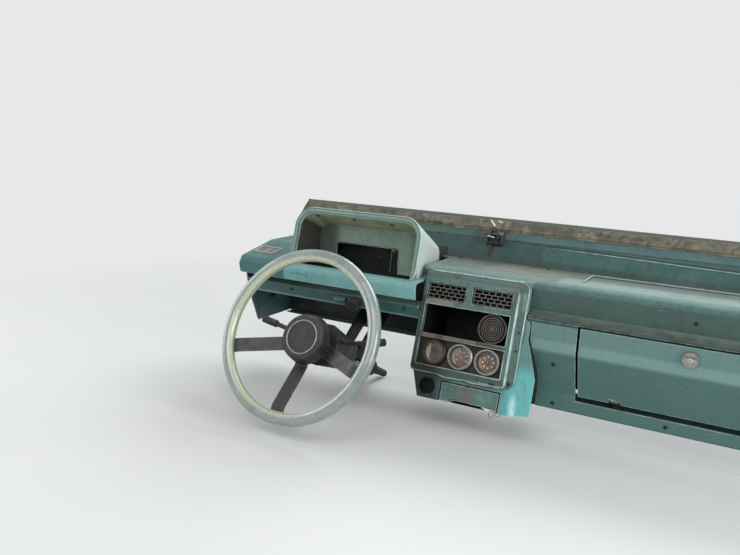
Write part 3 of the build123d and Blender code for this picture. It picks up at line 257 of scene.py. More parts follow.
class Finish:
    """A material whose nodes are added by short calls, on the piece's own Object coordinates in metres. It
    starts as one colour, and layers are laid over it."""

    def __init__(self, name, colour, gloss=0.5, **sockets):
        self.material = bpy.data.materials.new(name)
        self.material.use_nodes = True
        self.tree = self.material.node_tree
        self.shader = next(n for n in self.tree.nodes if n.type == "BSDF_PRINCIPLED")
        for socket, value in {"Specular_IOR_Level": gloss, **sockets}.items():
            self.shader.inputs[socket.replace("_", " ")].default_value = value
        self.spot = self.node("TexCoord").outputs["Object"]
        self.normal = self.node("NewGeometry").outputs["Normal"]
        self.colour = tint(*colour)

    def node(self, kind, settings=(), inputs=()):
        """A node of that kind with its settings, and its inputs as values or as sockets to link."""
        made = self.tree.nodes.new("ShaderNode" + kind)
        for key, value in dict(settings).items():
            setattr(made, key, value)
        for key, value in dict(inputs).items():
            if isinstance(value, bpy.types.NodeSocket):
                self.tree.links.new(value, made.inputs[key])
            else:
                made.inputs[key].default_value = value
        return made

    def lay(self, share, colour):
        """Puts a colour over what is there, by its share."""
        made = self.node("Mix", {"data_type": "RGBA"}, {0: share, 6: self.colour, 7: tint(*colour)})
        self.colour = made.outputs[2]

    def noise(self, scale, detail=3, stretch=(1, 1, 1), turn=(0, 0, 0), warp=0):
        """Fractal noise of so many waves a metre, turned and stretched along the axes."""
        where = self.node("Mapping", {}, {"Vector": self.spot, "Rotation": turn, "Scale": stretch})
        settings = {"Vector": where.outputs[0], "Scale": scale, "Detail": detail, "Distortion": warp}
        return self.node("TexNoise", {}, settings).outputs["Fac"]

    def span(self, value, low, high, start=0, end=1):
        """start to end as value goes from low to high."""
        return self.node("MapRange", {}, {0: value, 1: low, 2: high, 3: start, 4: end}).outputs[0]

    def cloud(self, scale, low, high, start=0, end=1, detail=3, **more):
        """start to end as noise goes from low to high."""
        return self.span(self.noise(scale, detail, **more), low, high, start, end)

    def wander(self, scale, reach):
        """Noise that moves an edge by up to reach mm either way."""
        return self.cloud(scale, 0.2, 0.8, -reach * MM, reach * MM)

    def maths(self, operation, first, second=0.5):
        return self.node("Math", {"operation": operation}, {0: first, 1: second}).outputs[0]

    def both(self, first, second):
        return self.maths("MULTIPLY", first, second)

    def either(self, first, second):
        return self.maths("MAXIMUM", first, second)

    def total(self, first, second):
        return self.maths("ADD", first, second)

    def hypot(self, u, v):
        return self.maths("SQRT", self.total(self.both(u, u), self.both(v, v)))

    def vector(self, operation, first, second=(0, 0, 0)):
        made = self.node("VectorMath", {"operation": operation}, {0: first, 1: second})
        return made.outputs["Vector" if operation == "SUBTRACT" else "Value"]

    def dot(self, first, second):
        return self.vector("DOT_PRODUCT", first, second)

    def away(self, face, centre):
        """From a point of a face to the shaded one."""
        return self.vector("SUBTRACT", self.spot, on(face, centre) * MM)

    def near(self, centre, far, close):
        """1 within close mm of a point of the stack, 0 beyond far."""
        return self.span(self.vector("DISTANCE", self.spot, on(STACK, centre) * MM), far * MM, close * MM)

    def along(self, face, axis, low, high):
        """0 to 1 as a point's place along a face's axis goes from low to high millimetres."""
        way = face[1][axis]
        base = float(face[0] @ way) * MM
        return self.span(self.dot(self.spot, way), base + low * MM, base + high * MM)

    def facing(self, way, low, high):
        """0 to 1 as the surface turns towards a direction."""
        return self.span(self.dot(self.normal, way), low, high)

    def edges(self, radius):
        """1 where the surface turns sharply within that radius: the bevelled normal against the true one."""
        soft = self.node("Bevel", {"samples": 4}, {"Radius": radius}).outputs[0]
        return self.span(self.dot(soft, self.normal), 0.98, 0.86)

    def hollows(self, distance=0.025):
        """1 in corners and slots that little light reaches."""
        open_share = self.node("AmbientOcclusion", {"samples": 6}, {"Distance": distance}).outputs["AO"]
        return self.span(open_share, 0.85, 0.3)

    def relief(self, height, depth):
        bump = self.node("Bump", {}, {"Height": height, "Distance": depth, "Strength": 1})
        self.tree.links.new(bump.outputs[0], self.shader.inputs["Normal"])

    def done(self, roughness=None):
        self.tree.links.new(self.colour, self.shader.inputs["Base Color"])
        if roughness is not None:
            self.tree.links.new(roughness, self.shader.inputs["Roughness"])
        return self.material


def painted(name, base, shade, patches=(), calm=(), pale=(176, 206, 200), dust=0.5, rubbed=1, dirt_and_shade=1,
            rough=(0.38, 0.62)):
    """Old teal paint: two shades drifting over 100 mm, fine mottling, dirt and painted shade in the hollows,
    pale rubbed edges, thin scratches, and dust on what faces up. Each patch is a function of the finish
    giving (share, colour); calm patches are places where edges are hardly rubbed."""
    grime_and_shade = (38, 48, 44)
    f = Finish(name, base, 0.45)
    f.lay(f.cloud(9, 0.35, 0.68, detail=4, warp=0.6), shade)
    f.lay(f.cloud(160, 0.3, 0.75, 0, 0.3, detail=4), dimmed(shade, 0.72))
    for patch in patches:
        f.lay(*patch(f))
    speck = 0.6 * np.array(grime_and_shade) + 0.4 * np.array(shade)
    f.lay(f.cloud(60, 0.58, 0.8, 0, 0.5 * dirt_and_shade, detail=5, warp=1), speck)
    f.lay(f.cloud(22, 0.56, 0.76, 0, 0.35 * dirt_and_shade, stretch=(4, 4, 0.5)), dimmed(shade, 0.55))
    # Painted shade mixed with dirt: the hollows that little light reaches go dark
    hollow = f.hollows()
    f.lay(f.both(hollow, f.cloud(45, 0.2, 0.8, 0.55 * dirt_and_shade, dirt_and_shade)), grime_and_shade)
    settled = f.both(f.facing(UPWARDS, 0.55, 0.95), f.cloud(30, 0.3, 0.7, 0.25 * dust, dust, detail=5))
    f.lay(settled, (168, 170, 156))
    scratch = f.cloud(55, 0.72, 0.76, 0, 0.5, detail=2, stretch=(1, 1, 14), turn=(0.3, 0.9, 0.2))
    edge = f.both(f.edges(0.0032), f.cloud(80, 0.32, 0.62, 0.1, rubbed))
    for share in [patch(f)[0] for patch in calm] + [hollow]:
        edge = f.both(edge, f.maths("SUBTRACT", 1, share))
    f.lay(f.either(edge, f.both(scratch, rubbed)), pale)
    f.relief(f.total(f.noise(700, 2), f.both(edge, -1.5)), 0.00004)
    return f.done(f.total(f.cloud(35, 0.3, 0.7, *rough, detail=4), f.both(settled, 0.25)))


def moulded(name, base, worn, rough=(0.45, 0.7), grain=900, depth=0.00005, rubbed=0.7, dust=0.3, dirt_and_shade=0.6,
            gloss=0.5):
    """Moulded plastic: a fine pebble grain, a drift of tone, paler rubbed edges, painted shade in the hollows
    and dust on what faces up."""
    f = Finish(name, base, gloss)
    f.lay(f.cloud(25, 0.3, 0.7, detail=4), dimmed(base, 0.78))
    f.lay(f.cloud(240, 0.45, 0.8, 0, 0.35), worn)
    f.lay(f.both(f.edges(0.002), f.cloud(110, 0.3, 0.65, 0.1, rubbed)), worn)
    # Painted shade: near black in the hollows
    f.lay(f.both(f.hollows(0.015), dirt_and_shade), (22, 22, 20))
    f.lay(f.both(f.facing(UPWARDS, 0.4, 0.95), f.cloud(70, 0.35, 0.7, 0, dust, detail=4)), (150, 145, 130))
    f.relief(f.node("TexVoronoi", {}, {"Vector": f.spot, "Scale": grain}).outputs["Distance"], depth)
    return f.done(f.cloud(50, 0.3, 0.7, *rough))


def metal(name, base, rough=(0.25, 0.5), rusty=0.4):
    """Steel: fine brushed lines, a drift of tone, and rust in the hollows and in spots."""
    f = Finish(name, base, Metallic=0.9)
    lines = f.noise(120, 2, stretch=(1, 1, 30))
    f.lay(f.span(lines, 0.3, 0.7), dimmed(base, 0.8))
    spots = f.cloud(70, 0.55, 0.72, 0, rusty, detail=6, warp=0.8)
    spots = f.either(spots, f.both(f.hollows(0.01), rusty))
    f.lay(spots, (96, 58, 36))
    f.relief(lines, 0.00002)
    return f.done(f.total(f.span(lines, 0.2, 0.8, *rough), f.both(spots, 0.4)))


# Patches of a painted finish: each gives the share of a colour over the surface

def narrowed(f, mask, face, only):
    """A mask kept where each (axis, low, high) of a face has come to 1."""
    for axis, low, high in only:
        mask = f.both(mask, f.along(face, axis, low, high))
    return mask


def band(face, axis, low, high, colour, soft=1, share=1, rough_edge=0, only=()):
    """Between low and high along an axis, fading over soft mm, its edges moved by noise of rough_edge mm;
    only narrows it in the same way along further axes, each (axis, low, high)."""
    def patch(f):
        mask = share
        for a, lo, hi in [(axis, low, high), *only]:
            way = face[1][a]
            place = f.dot(f.spot, way)
            if rough_edge:
                place = f.total(place, f.wander(90, rough_edge))
            base = float(face[0] @ way)
            rise = f.span(place, (base + lo - soft) * MM, (base + lo) * MM)
            fall = f.span(place, (base + hi + soft) * MM, (base + hi) * MM)
            mask = f.both(f.both(rise, fall), mask)
        return mask, colour
    return patch


# Bands at places up and across the stack, and along the model's x, y and z
row, column = partial(band, STACK, V), partial(band, STACK, U)
sideways, inwards, level = (partial(band, MODEL, axis) for axis in (X, Y, Z))


def blot(centre, close, far, colour, share=1, scale=60):
    """Round a point of the stack: whole within close mm, gone by far mm, broken up by noise."""
    def patch(f):
        mask = f.near(centre, far, close)
        return f.both(mask, f.cloud(scale, 0.3, 0.62, 0.25 * share, share, detail=4)), colour
    return patch


def inside(centre, colour, share=1):
    """Where the surface faces the middle of a hollow: normal . (centre - P) is above nought."""
    def patch(f):
        towards = f.vector("SUBTRACT", np.array(centre) * MM, f.spot)
        return f.both(f.span(f.dot(towards, f.normal), 0, 0.006), share), colour
    return patch


def turned_to(way, low, high, colour, share=1, scale=None, only=()):
    """Where the surface turns towards a direction; only narrows it along the model's axes."""
    def patch(f):
        mask = narrowed(f, f.both(f.facing(way, low, high), share), MODEL, only)
        if scale:
            mask = f.both(mask, f.cloud(scale, 0.3, 0.65, 0.4, 1, detail=4))
        return mask, colour
    return patch


def mark(centre, radius, colour, share=1, soft=0.6, wide=1):
    """A clean mark round a point of the stack, wide times as broad as it is high, whatever its depth."""
    def patch(f):
        off = f.away(STACK, centre)
        far = f.hypot(f.dot(off, STACK[1][U] / wide), f.dot(off, STACK[1][V]))
        return f.both(f.span(far, (radius + soft) * MM, radius * MM), share), colour
    return patch


def framed(outline, low, high, colour, share=1, soft=0.5, rough_edge=0.3, only=()):
    """A line round a rounded oblong, where its distance d lies between low and high mm:
    q = |P - c| - (half - corner), d = |max(q, 0)| + min(max(qu, qv), 0) - corner. The outline is (face,
    centre, half widths u and v, corner), and only narrows the line along the face's axes."""
    face, centre, half_u, half_v, corner = outline

    def patch(f):
        off = f.away(face, centre)
        q = []
        for axis, half in ((U, half_u), (V, half_v)):
            place = f.maths("ABSOLUTE", f.dot(off, face[1][axis]))
            q.append(f.maths("SUBTRACT", place, (half - corner) * MM))
        outer = f.hypot(f.either(q[0], 0), f.either(q[1], 0))
        inner = f.maths("MINIMUM", f.either(*q), 0)
        far = f.total(f.total(outer, inner), -corner * MM)
        far = f.total(far, f.wander(140, rough_edge))
        mask = f.both(f.span(far, (low - soft) * MM, low * MM), f.span(far, (high + soft) * MM, high * MM))
        mask = f.both(mask, f.cloud(50, 0.25, 0.6, 0.35 * share, share))
        return narrowed(f, mask, face, only), colour
    return patch


# Paint of the centre stack

# The second and third colours are near black painted shade: the second in gaps and holes, the third on walls
# deep inside
WHITE, GAP_SHADE, DEEP_SHADE = (255, 255, 255), (12, 15, 14), (9, 11, 12)
FACE_EDGE = (STACK, (0.5, -6.5, 0), 101.5, 98, 6)
BEZEL_EDGE = (STACK, (8, 0, 0), 112, 106, 16)
GAUGE_BAY = (STACK, (0, GAUGE_ROW, 0), 91, 27.8, 3)
SLOT_MOUTH = (STACK, (0, 4.3, 0), 91, 30, 3)
VENT_MOUTHS = [(STACK, (u, VENT_ROW, 0), 42, 16.7, 3) for u in (-VENT_HALF_GAP, VENT_HALF_GAP)]

teal = painted("teal moulding", (88, 142, 138), (72, 122, 118), dust=0.4)
finishes = {}
finishes["stack_bezel"] = painted("bezel teal", (84, 112, 106), (66, 92, 87), [
    # Painted shade on the foot and the left flank
    row(-112, -93, (54, 72, 66), 5, 0.8),
    column(-130, -50, (16, 20, 18), 40, 0.95, only=[(V, -120, -90)]),
    column(-112, -94, (34, 48, 44), 3, 0.95, only=[(V, -90, 46)]),
    # The top rail, the bar over the slot and the stained one between slot and gauges
    column(-88, 60, (84, 116, 113), 30, 0.6, 4, [(V, 82, 106)]),
    row(33.5, 47, (132, 126, 114), 1.5, 0.75, 1, [(U, -92, -30)]),
    row(-35, -25, (64, 60, 54), 1, 0.95, 1, [(U, -93, 92)]),
    row(-34, -26, (112, 108, 100), 1.5, 0.6, 2.5, [(U, -40, 30)]),
    row(-34, -26, (128, 104, 92), 1.5, 0.5, 2.5, [(U, -84, -58)]),
    # A painted highlight along that bar's lower edge, on its right side
    row(-36, -33.5, (150, 186, 180), 0.8, 0.7, 0.6, [(U, 20, 92)]),
    blot((84, 94, 8), 5, 24, (124, 112, 106), 0.6),
    blot((-34, 99, 8), 3, 16, (120, 110, 96), 0.8),
    # Painted highlights, partly rubbed paint, bright on the right and upper sides and dimmer on the others,
    # and painted shade lines, round the face, the bezel and its openings
    framed(FACE_EDGE, -1.6, 1.2, (196, 222, 216), 0.9, only=[(V, 84, 76), (U, 10, 60)]),
    framed(FACE_EDGE, -1, 0.8, (120, 140, 132), 0.6, only=[(V, 84, 76), (U, 60, 10)]),
    framed(BEZEL_EDGE, -1.8, 0.6, (200, 224, 218), 0.9, only=[(V, -60, 20)]),
    framed(BEZEL_EDGE, -1.2, 0.6, (150, 182, 176), 0.7, only=[(V, 20, -60)]),
    column(112, 124, (128, 152, 146), 8, 0.6, 2, [(V, 52, 80)]),
    framed(BEZEL_EDGE, -3.8, -2.4, (44, 66, 64), 0.7),
    framed(GAUGE_BAY, 0, 1.6, (176, 206, 200), 0.85, only=[(V, -50, -62), (U, 0, 50)]),
    framed(GAUGE_BAY, 0, 1.2, (132, 132, 116), 0.6, only=[(V, -50, -62), (U, 50, 0)]),
    framed(SLOT_MOUTH, 0, 1.4, (150, 184, 178), 0.7, only=[(U, 60, 80)]),
    *[framed(mouth, -0.6, 1.8, GAP_SHADE, 0.95) for mouth in VENT_MOUTHS],
    # Peg holes and a torn hole, painted as dark shade, and a crack in the foot
    mark((26.6, 102.5, 5), 1.6, GAP_SHADE),
    mark((49.8, 99, 5), 1, (40, 50, 48), 0.8),
    mark((77, -102, 9), 2, GAP_SHADE, wide=3.6),
    column(46.2, 47.4, (20, 26, 24), 0.3, 0.95, 0.4, [(V, -104, -89)])], calm=[
    row(85, 97, WHITE, 2, 0.85),
    row(-38, -22, WHITE, 1.5, 0.8, only=[(U, -94, 92)]),
    column(-130, -60, WHITE, 30, 0.8, only=[(V, -120, -86)])],
    pale=(190, 210, 202), rubbed=1.3, dirt_and_shade=1.1, dust=0.25, rough=(0.3, 0.5))
finishes["stack_housing"] = painted("housing teal", (88, 132, 128), (76, 118, 115), [
    # Painted light on the right flank, a stain, painted shade on the left side, painted glints on the flare,
    # and painted shade inside
    column(110, 170, (98, 176, 176), 26, 0.8, 6, [(V, -170, -76)]),
    blot((40, -112, 0), 8, 46, (96, 108, 100), 0.5),
    column(-130, -50, (12, 16, 15), 44, 0.97, only=[(V, -175, -96)]),
    mark((120, -136, 0), 3, (196, 232, 228), 0.7, 24, 0.3),
    mark((122, -150, 0), 4.5, (186, 224, 220), 0.7, 10, 0.45),
    inside((-90, -150, -60), (26, 34, 32), 0.95)],
    calm=[column(-130, -30, WHITE, 20, 0.8)], rubbed=0.9, dirt_and_shade=0.7, dust=0.3, rough=(0.28, 0.5))
finishes["ash_drawer"] = painted("drawer teal", (84, 112, 106), (70, 98, 93), [
    blot((24, -132, 0), 8, 30, (110, 98, 88), 0.9, 90),
    blot((62, -130, 0), 8, 26, (104, 140, 134), 0.7, 70),
    mark((6, -156, 0), 8, (24, 30, 28), 0.95, 3, 1.7)], rubbed=1.5, dirt_and_shade=0.9, dust=0.2)


# Paint of the shelf, fascia and glove box

SHELF_LENGTH = (X, -200, 640)
SHELF_FRONT = (Z, 88, 104)
finishes["dash_top"] = painted("shelf teal", (82, 108, 104), (70, 94, 90), [
    # Painted shade on the faces turned to the front, and a painted highlight on the rounded front edge
    turned_to((0, -1, 0), 0.4, 0.9, (64, 92, 85), 0.9),
    turned_to((0, -0.7, 0.7), 0.9, 0.99, (150, 184, 180), 0.7, 40),
    # Painted light on the front edge, brightest to the right, then dirt along the back and in the left corner
    inwards(-150, -112, (92, 128, 126), 10, 0.6, 5, [SHELF_LENGTH, SHELF_FRONT]),
    inwards(-124, -86, (152, 186, 182), 14, 0.5, 6, [(X, 80, 640), SHELF_FRONT]),
    inwards(-44, 10, (88, 92, 82), 12, 0.75, 8, [SHELF_LENGTH]),
    inwards(-110, -34, (116, 116, 106), 16, 0.5, 9, [(X, -90, 60)])],
    calm=[level(76, 83, WHITE, 1.5, 0.9)], dust=0.16, dirt_and_shade=1.1)
finishes["right_fascia"] = painted("fascia teal", (68, 95, 89), (60, 85, 80), [
    # Painted shade darkening its foot and lip
    level(32, 36, (40, 66, 63), 1.2, 0.5, 0.6),
    level(20, 33, (31, 47, 45), 3, 0.9)],
    calm=[level(74, 84, WHITE, 1.5, 0.9)], rubbed=0.8, dirt_and_shade=0.6, dust=0.3)
# A painted highlight along the crease, on the lid and its frame
lit_ridge = level(-31, -14, (120, 152, 148), 6, 0.7)
finishes["glove_lid"] = painted("lid teal", (80, 118, 113), (68, 104, 99), [
    # Painted light above the crease and painted shade below it
    level(-34, 30, (100, 131, 127), 5, 0.8), lit_ridge,
    level(-140, -37, (76, 110, 105), 8, 0.7)], rubbed=0.8, dirt_and_shade=0.4, dust=0.25)
finishes["glove_frame"] = painted("glove frame teal", (80, 118, 113), (68, 104, 99), [
    # Painted light above the crease, painted shade below it, and a painted shadow line along the top under
    # the fascia
    level(-34, 30, (101, 132, 128), 5, 0.85), lit_ridge,
    level(-180, -40, (74, 108, 103), 10, 0.75),
    level(21.5, 30, (34, 48, 46), 0.8, 0.85, 0.5)],
    calm=[level(16, 30, WHITE, 2, 0.9)], dirt_and_shade=0.5, dust=0.3)


# Paint of the instrument hood and the driver's side

HOOD_RIM = (HOOD, (8, 55, 0), 158.5, 75.5, 45)
HOOD_LIP = (HOOD, (8, 49, 0), 144.5, 68, 31)
HOOD_FRONT = [(W, -8, -5)]
INSTRUMENT_HOLE = (HOOD_BACK, (0, 0, 0), 80, 27.5, 6)
ledge_cut = (30, 52, 50)
finishes["instrument_hood"] = painted("hood teal", (98, 134, 129), (82, 116, 111), [
    # The dull hollow, painted shade on its left cheek, and painted light on its roof and right end
    inside((-363, -120, 105), (92, 100, 88)),
    turned_to((1, 0, 0), 0.5, 0.85, (52, 53, 48), 0.95, only=[(X, -470, -485), (Y, -190, -188)]),
    turned_to((0, -0.35, -0.94), 0.55, 0.9, (162, 162, 126), 0.9, 30),
    turned_to((0.93, 0, 0.37), 0.6, 0.9, (216, 228, 224), 0.8, only=[(X, -250, -238), (Y, -190, -182)]),
    # Near black painted shade on its back edge, then painted highlight lines and a painted shade line along
    # its rolled rim
    inwards(-32, 0, DEEP_SHADE, 6, 0.97, only=[(Z, 30, 113)]),
    framed(HOOD_RIM, -8.6, -4.4, (134, 158, 151), 0.75, 0.8, 0.4, HOOD_FRONT),
    framed(HOOD_RIM, -3.6, -2.4, (48, 70, 66), 0.85, 0.6, 0.3, HOOD_FRONT),
    framed(HOOD_RIM, -1.6, 1.2, (172, 196, 190), 0.8, 0.8, 0.4, HOOD_FRONT),
    framed(HOOD_LIP, -1, 1.2, (162, 194, 186), 0.85, 0.8, 0.4, HOOD_FRONT)],
    calm=[inwards(-40, 2, WHITE, 4, only=[(Z, 20, 114)])],
    pale=(190, 210, 204), rubbed=1.2, dirt_and_shade=0.7, dust=0.35)
finishes["cluster_panel"] = painted("hood back wall", (144, 165, 150), (124, 145, 131), [
    # Painted shade on the wall's left part, a darker right end, and painted shade round the instrument hole
    sideways(-520, -462, (62, 64, 57), 20, 0.8, 4),
    sideways(-256, -220, (98, 118, 107), 12, 0.75, 4),
    framed(INSTRUMENT_HOLE, -1, 2.2, (26, 30, 29), 0.9)], dust=0.2, dirt_and_shade=0.8)
finishes["driver_ledge"] = painted("ledge teal", (126, 182, 180), (108, 164, 162), [
    # A painted highlight on the rounded front edge, then the dark cut lines of a small cover
    turned_to((0, -0.7, 0.7), 0.85, 0.99, (132, 172, 168), 0.5, 40),
    sideways(-462.5, -461.7, ledge_cut, 0.4, 0.9, only=[(Z, 42, 57)]),
    level(50.6, 51.4, ledge_cut, 0.4, 0.9, only=[(X, -505, -462)])], dust=0.3, dirt_and_shade=0.7)
finishes["left_top"] = painted("left top teal", (64, 117, 117), (55, 103, 103), dust=0.12, dirt_and_shade=0.8)
# The knee panel's teal is darkened as painted shade, for a panel low under the dash
finishes["knee_panel"] = painted("knee panel teal", (58, 100, 97), (48, 84, 81), [
    level(-16, -8, (120, 152, 147), 1, 0.7, 1)], dust=0.3, dirt_and_shade=1.1)
finishes["end_plate_left"] = painted("end plate teal", (56, 92, 89), (46, 76, 74), dust=0.3, dirt_and_shade=1.2)
finishes["end_plate_right"] = finishes["end_plate_left"]


# Paint of the scuttle: near black painted shade between the hood and the stack, and painted shade along a
# worn fold under the screen slope

# Where the wall behind the hood gets near black painted shade
DEEP_SHADE_STRIPS = [
    [(X, -219, -222), (Z, 93, 90)],
    [(X, -515, -512), (X, -219, -222), (Z, 82, 85), (Z, 116, 113)]]
# The scuttle's teal is the dash's paint darkened as painted shade, for a wall that faces away from the window
# light
finishes["scuttle_panel"] = painted("scuttle teal", (54, 96, 91), (44, 82, 78), [
    # The slope, painted shade on the wall beside the hood, and painted shade lines under the fold
    level(143, 160, (62, 100, 108), 5, 0.7, 2, [(X, -60, 640)]),
    turned_to((0, -1, 0.3), 0.3, 0.7, (50, 52, 49), 0.9, 60, [
        (X, -175, -170), (X, -94, -99), (Z, 102, 107), (Z, 170, 164)]),
    level(141, 144, (30, 54, 54), 1.2, 0.7, 0.8),
    band(FOLD, V, 1.2, 4, (20, 38, 37), 1, 0.85, 0.8, [(U, -100, 640), (W, -40, 40)]),
    # Painted shade on the wall's left part, a darker band along the shelf's line, dirt under the seal, near
    # black painted shade, and the back
    sideways(-650, -6, (36, 60, 60), 6, 0.65, 3, [(Z, 92, 139)]),
    level(88, 104, (44, 58, 52), 7, 0.7, 4),
    level(177, 190, (104, 102, 92), 1, 0.85, 1.5),
    *[turned_to((0, -1, 0), 0.5, 0.9, DEEP_SHADE, 0.97, only=strip) for strip in DEEP_SHADE_STRIPS],
    turned_to((0, 1, 0), 0.3, 0.8, (58, 74, 70), 0.8, 14),
    turned_to((0, 1, 0), 0.3, 0.8, (92, 78, 60), 0.35, 40)],
    pale=(112, 146, 142), dust=0.3, rough=(0.45, 0.7))


# Plastics, metals, rubber and glass

def grille_grey(name, front, deep, worn, low, high, bars=()):
    """Moulded grille: grey and rubbed at its front, with near black painted shade from low mm of depth down
    and
    on what turns away. bars is (pitch, half width, border half): the fronts beyond half a width from the
    nearest bar's middle get near black painted shade, |v - v0| folded by the pitch."""
    f = Finish(name, front, 0.4)
    f.lay(f.cloud(40, 0.3, 0.7, detail=4), dimmed(front, 0.75))
    f.lay(f.both(f.edges(0.0015), f.cloud(120, 0.3, 0.6, 0.2, 1)), worn)
    f.lay(f.cloud(95, 0.6, 0.75, 0, 0.6), worn)
    if bars:
        pitch, half, border = bars
        # Painted shade along the bars' edges and outside the border
        off = f.away(STACK, (0, VENT_ROW, 0))
        fold = f.maths("PINGPONG", f.dot(off, STACK[1][V]), pitch / 2 * MM)
        u = f.maths("ABSOLUTE", f.dot(off, STACK[1][U]))
        u = f.maths("ABSOLUTE", f.maths("SUBTRACT", u, VENT_HALF_GAP * MM))
        bar_shade = f.both(f.span(fold, half * MM, (half + 0.3) * MM), f.span(u, border * MM, (border - 0.4) * MM))
        bar_shade = f.either(bar_shade, f.span(u, (border + 1.2) * MM, (border + 1.5) * MM))
        f.lay(f.both(bar_shade, f.along(STACK, W, 6, 6.6)), deep)
    # Painted shade: near black on what turns away and deeper than low mm
    f.lay(f.facing(STACK[1][W], 0.8, 0.5), deep)
    f.lay(f.along(STACK, W, high, low), deep)
    f.relief(f.noise(500), 0.00004)
    return f.done(f.cloud(60, 0.3, 0.7, 0.45, 0.7))


def sealing_strip():
    """Weathered sealing strip: grey-brown blotches, dark cracks between cells and a rough skin."""
    f = Finish("weathered sealant", (128, 122, 108), 0.25)
    f.lay(f.cloud(28, 0.35, 0.65, detail=5, warp=1), (92, 90, 80))
    f.lay(f.cloud(90, 0.5, 0.72, detail=5), (66, 66, 58))
    f.lay(f.cloud(14, 0.6, 0.75, 0, 0.6), (152, 148, 134))
    f.relief(f.noise(220, 5), 0.0006)
    return f.done(f.cloud(50, 0.3, 0.7, 0.75, 0.95))


def dial_face(name, ground, centre_shade, share, needle, mottled=0.3):
    """Aged dial: its ground browns towards the middle, and what stands above the ground is the needle."""
    f = Finish(name, ground, 0.3)
    f.lay(f.cloud(120, 0.35, 0.7, 0, 0.5, detail=4), dimmed(ground, 0.8))
    middles = [f.near(middle, 19, 6) for middle in DIALS]
    f.lay(f.both(f.either(f.either(*middles[:2]), middles[2]), share), centre_shade)
    stain = f.near((-9, -52, DIAL_GROUND), 11, 4)
    f.lay(f.both(stain, 0.7), (134, 112, 138))
    f.lay(f.cloud(260, 0.46, 0.58, 0, mottled, detail=4, warp=0.6), dimmed(ground, 0.4))
    f.lay(f.along(STACK, W, DIAL_GROUND + 0.2, DIAL_GROUND + 0.3), needle)
    f.relief(f.noise(600), 0.00002)
    return f.done(f.cloud(80, 0.3, 0.7, 0.5, 0.7))


def gauge_glass():
    """Scratched clear glass with a film of dust."""
    f = Finish("gauge glass", (214, 214, 204), 0.35, IOR=1.45)
    f.tree.links.new(f.cloud(60, 0.4, 0.8, 0.02, 0.08, detail=5), f.shader.inputs["Alpha"])
    f.lay(f.cloud(200, 0.4, 0.7), (190, 188, 176))
    return f.done(f.cloud(140, 0.3, 0.7, 0.06, 0.22))


def from_wheel_axis(f):
    """How far a point stands from the wheel's axis: (|P - O|^2 - ((P - O) . N)^2)^0.5."""
    off = f.away(WHEEL, (0, 0, 0))
    length, out = f.vector("LENGTH", off), f.dot(off, WHEEL[1][W])
    return f.maths("SQRT", f.maths("SUBTRACT", f.both(length, length), f.both(out, out)))


def rim_sleeve():
    """Clear glossy sleeve over silver-grey: a pale yellowed inner side, cloudy streaks and a hard gloss."""
    f = Finish("clear rim sleeve", (142, 152, 148), 0.7, Coat_Weight=1, Coat_Roughness=0.04)
    f.lay(f.cloud(16, 0.35, 0.65, warp=0.8), (118, 131, 128))
    f.lay(f.cloud(110, 0.6, 0.78, 0, 0.45), (176, 188, 184))
    f.lay(f.span(from_wheel_axis(f), 0.1655, 0.1605, 0, 0.8), (196, 200, 172))
    f.relief(f.noise(60, 2), 0.0001)
    return f.done(f.cloud(60, 0.35, 0.7, 0.16, 0.34, detail=4))


def wheel_core():
    """Black enamel on the hub and spokes, pale silver-grey where the rim's core shows under the sleeve."""
    f = Finish("wheel enamel", (30, 31, 32))
    f.lay(f.cloud(40, 0.3, 0.7, detail=4), (40, 41, 42))
    f.lay(f.both(f.edges(0.003), f.cloud(120, 0.35, 0.6)), (120, 118, 112))
    f.lay(f.span(from_wheel_axis(f), 0.1535, 0.1545), (188, 192, 168))
    f.relief(f.noise(420), 0.00006)
    return f.done(f.cloud(60, 0.3, 0.7, 0.34, 0.55))


def catch_enamel():
    """Black enamel, worn to bright metal on the pin and along the ears' edges."""
    f = Finish("catch enamel", (26, 27, 27))
    f.lay(f.cloud(60, 0.3, 0.7, detail=4), (44, 44, 42))
    worn = f.both(f.edges(0.002), f.cloud(150, 0.45, 0.7, 0, 0.4))
    f.lay(worn, (190, 192, 190))
    f.tree.links.new(worn, f.shader.inputs["Metallic"])
    f.relief(f.noise(400), 0.00004)
    return f.done(f.span(worn, 0, 1, 0.5, 0.3))


def print_ink(name, base, worn):
    """Dial ink: flat, chalky and rubbed thin in places."""
    return moulded(name, base, worn, grain=2000, depth=0.00001, rubbed=0.3, dust=0, dirt_and_shade=0.1)


black = moulded("black plastic", (27, 28, 28), (92, 92, 86))
# Near black for the boxes inside the dash: black plastic darkened further as painted shade
inner_black_and_shade = moulded("inner black plastic", (13, 14, 14), (52, 51, 48), dust=0.16, gloss=0.25)
vent_grey = grille_grey(
    "worn vent grey", (104, 106, 99), (9, 10, 10), (158, 155, 145), 3.6, 5.6, (7.35, 0.5, 38.9))
column_black = metal("column enamel", (38, 39, 40), (0.35, 0.6), 0.25)
zinc = metal("dull zinc", (150, 148, 140), rusty=0.5)
bright = metal("bright steel", (190, 190, 186), (0.15, 0.35), 0.15)
dark_steel = metal("dark steel", (66, 64, 60), (0.4, 0.65), 0.6)
chrome = metal("dull chrome", (168, 168, 162), rusty=0.3)
ring_grey = metal("gauge ring grey", (154, 151, 143), (0.32, 0.5), 0.15)
aged_dial = dial_face("aged dial", (116, 100, 92), (124, 96, 86), 0.7, (176, 128, 110))
sealant = sealing_strip()
catch_black = catch_enamel()
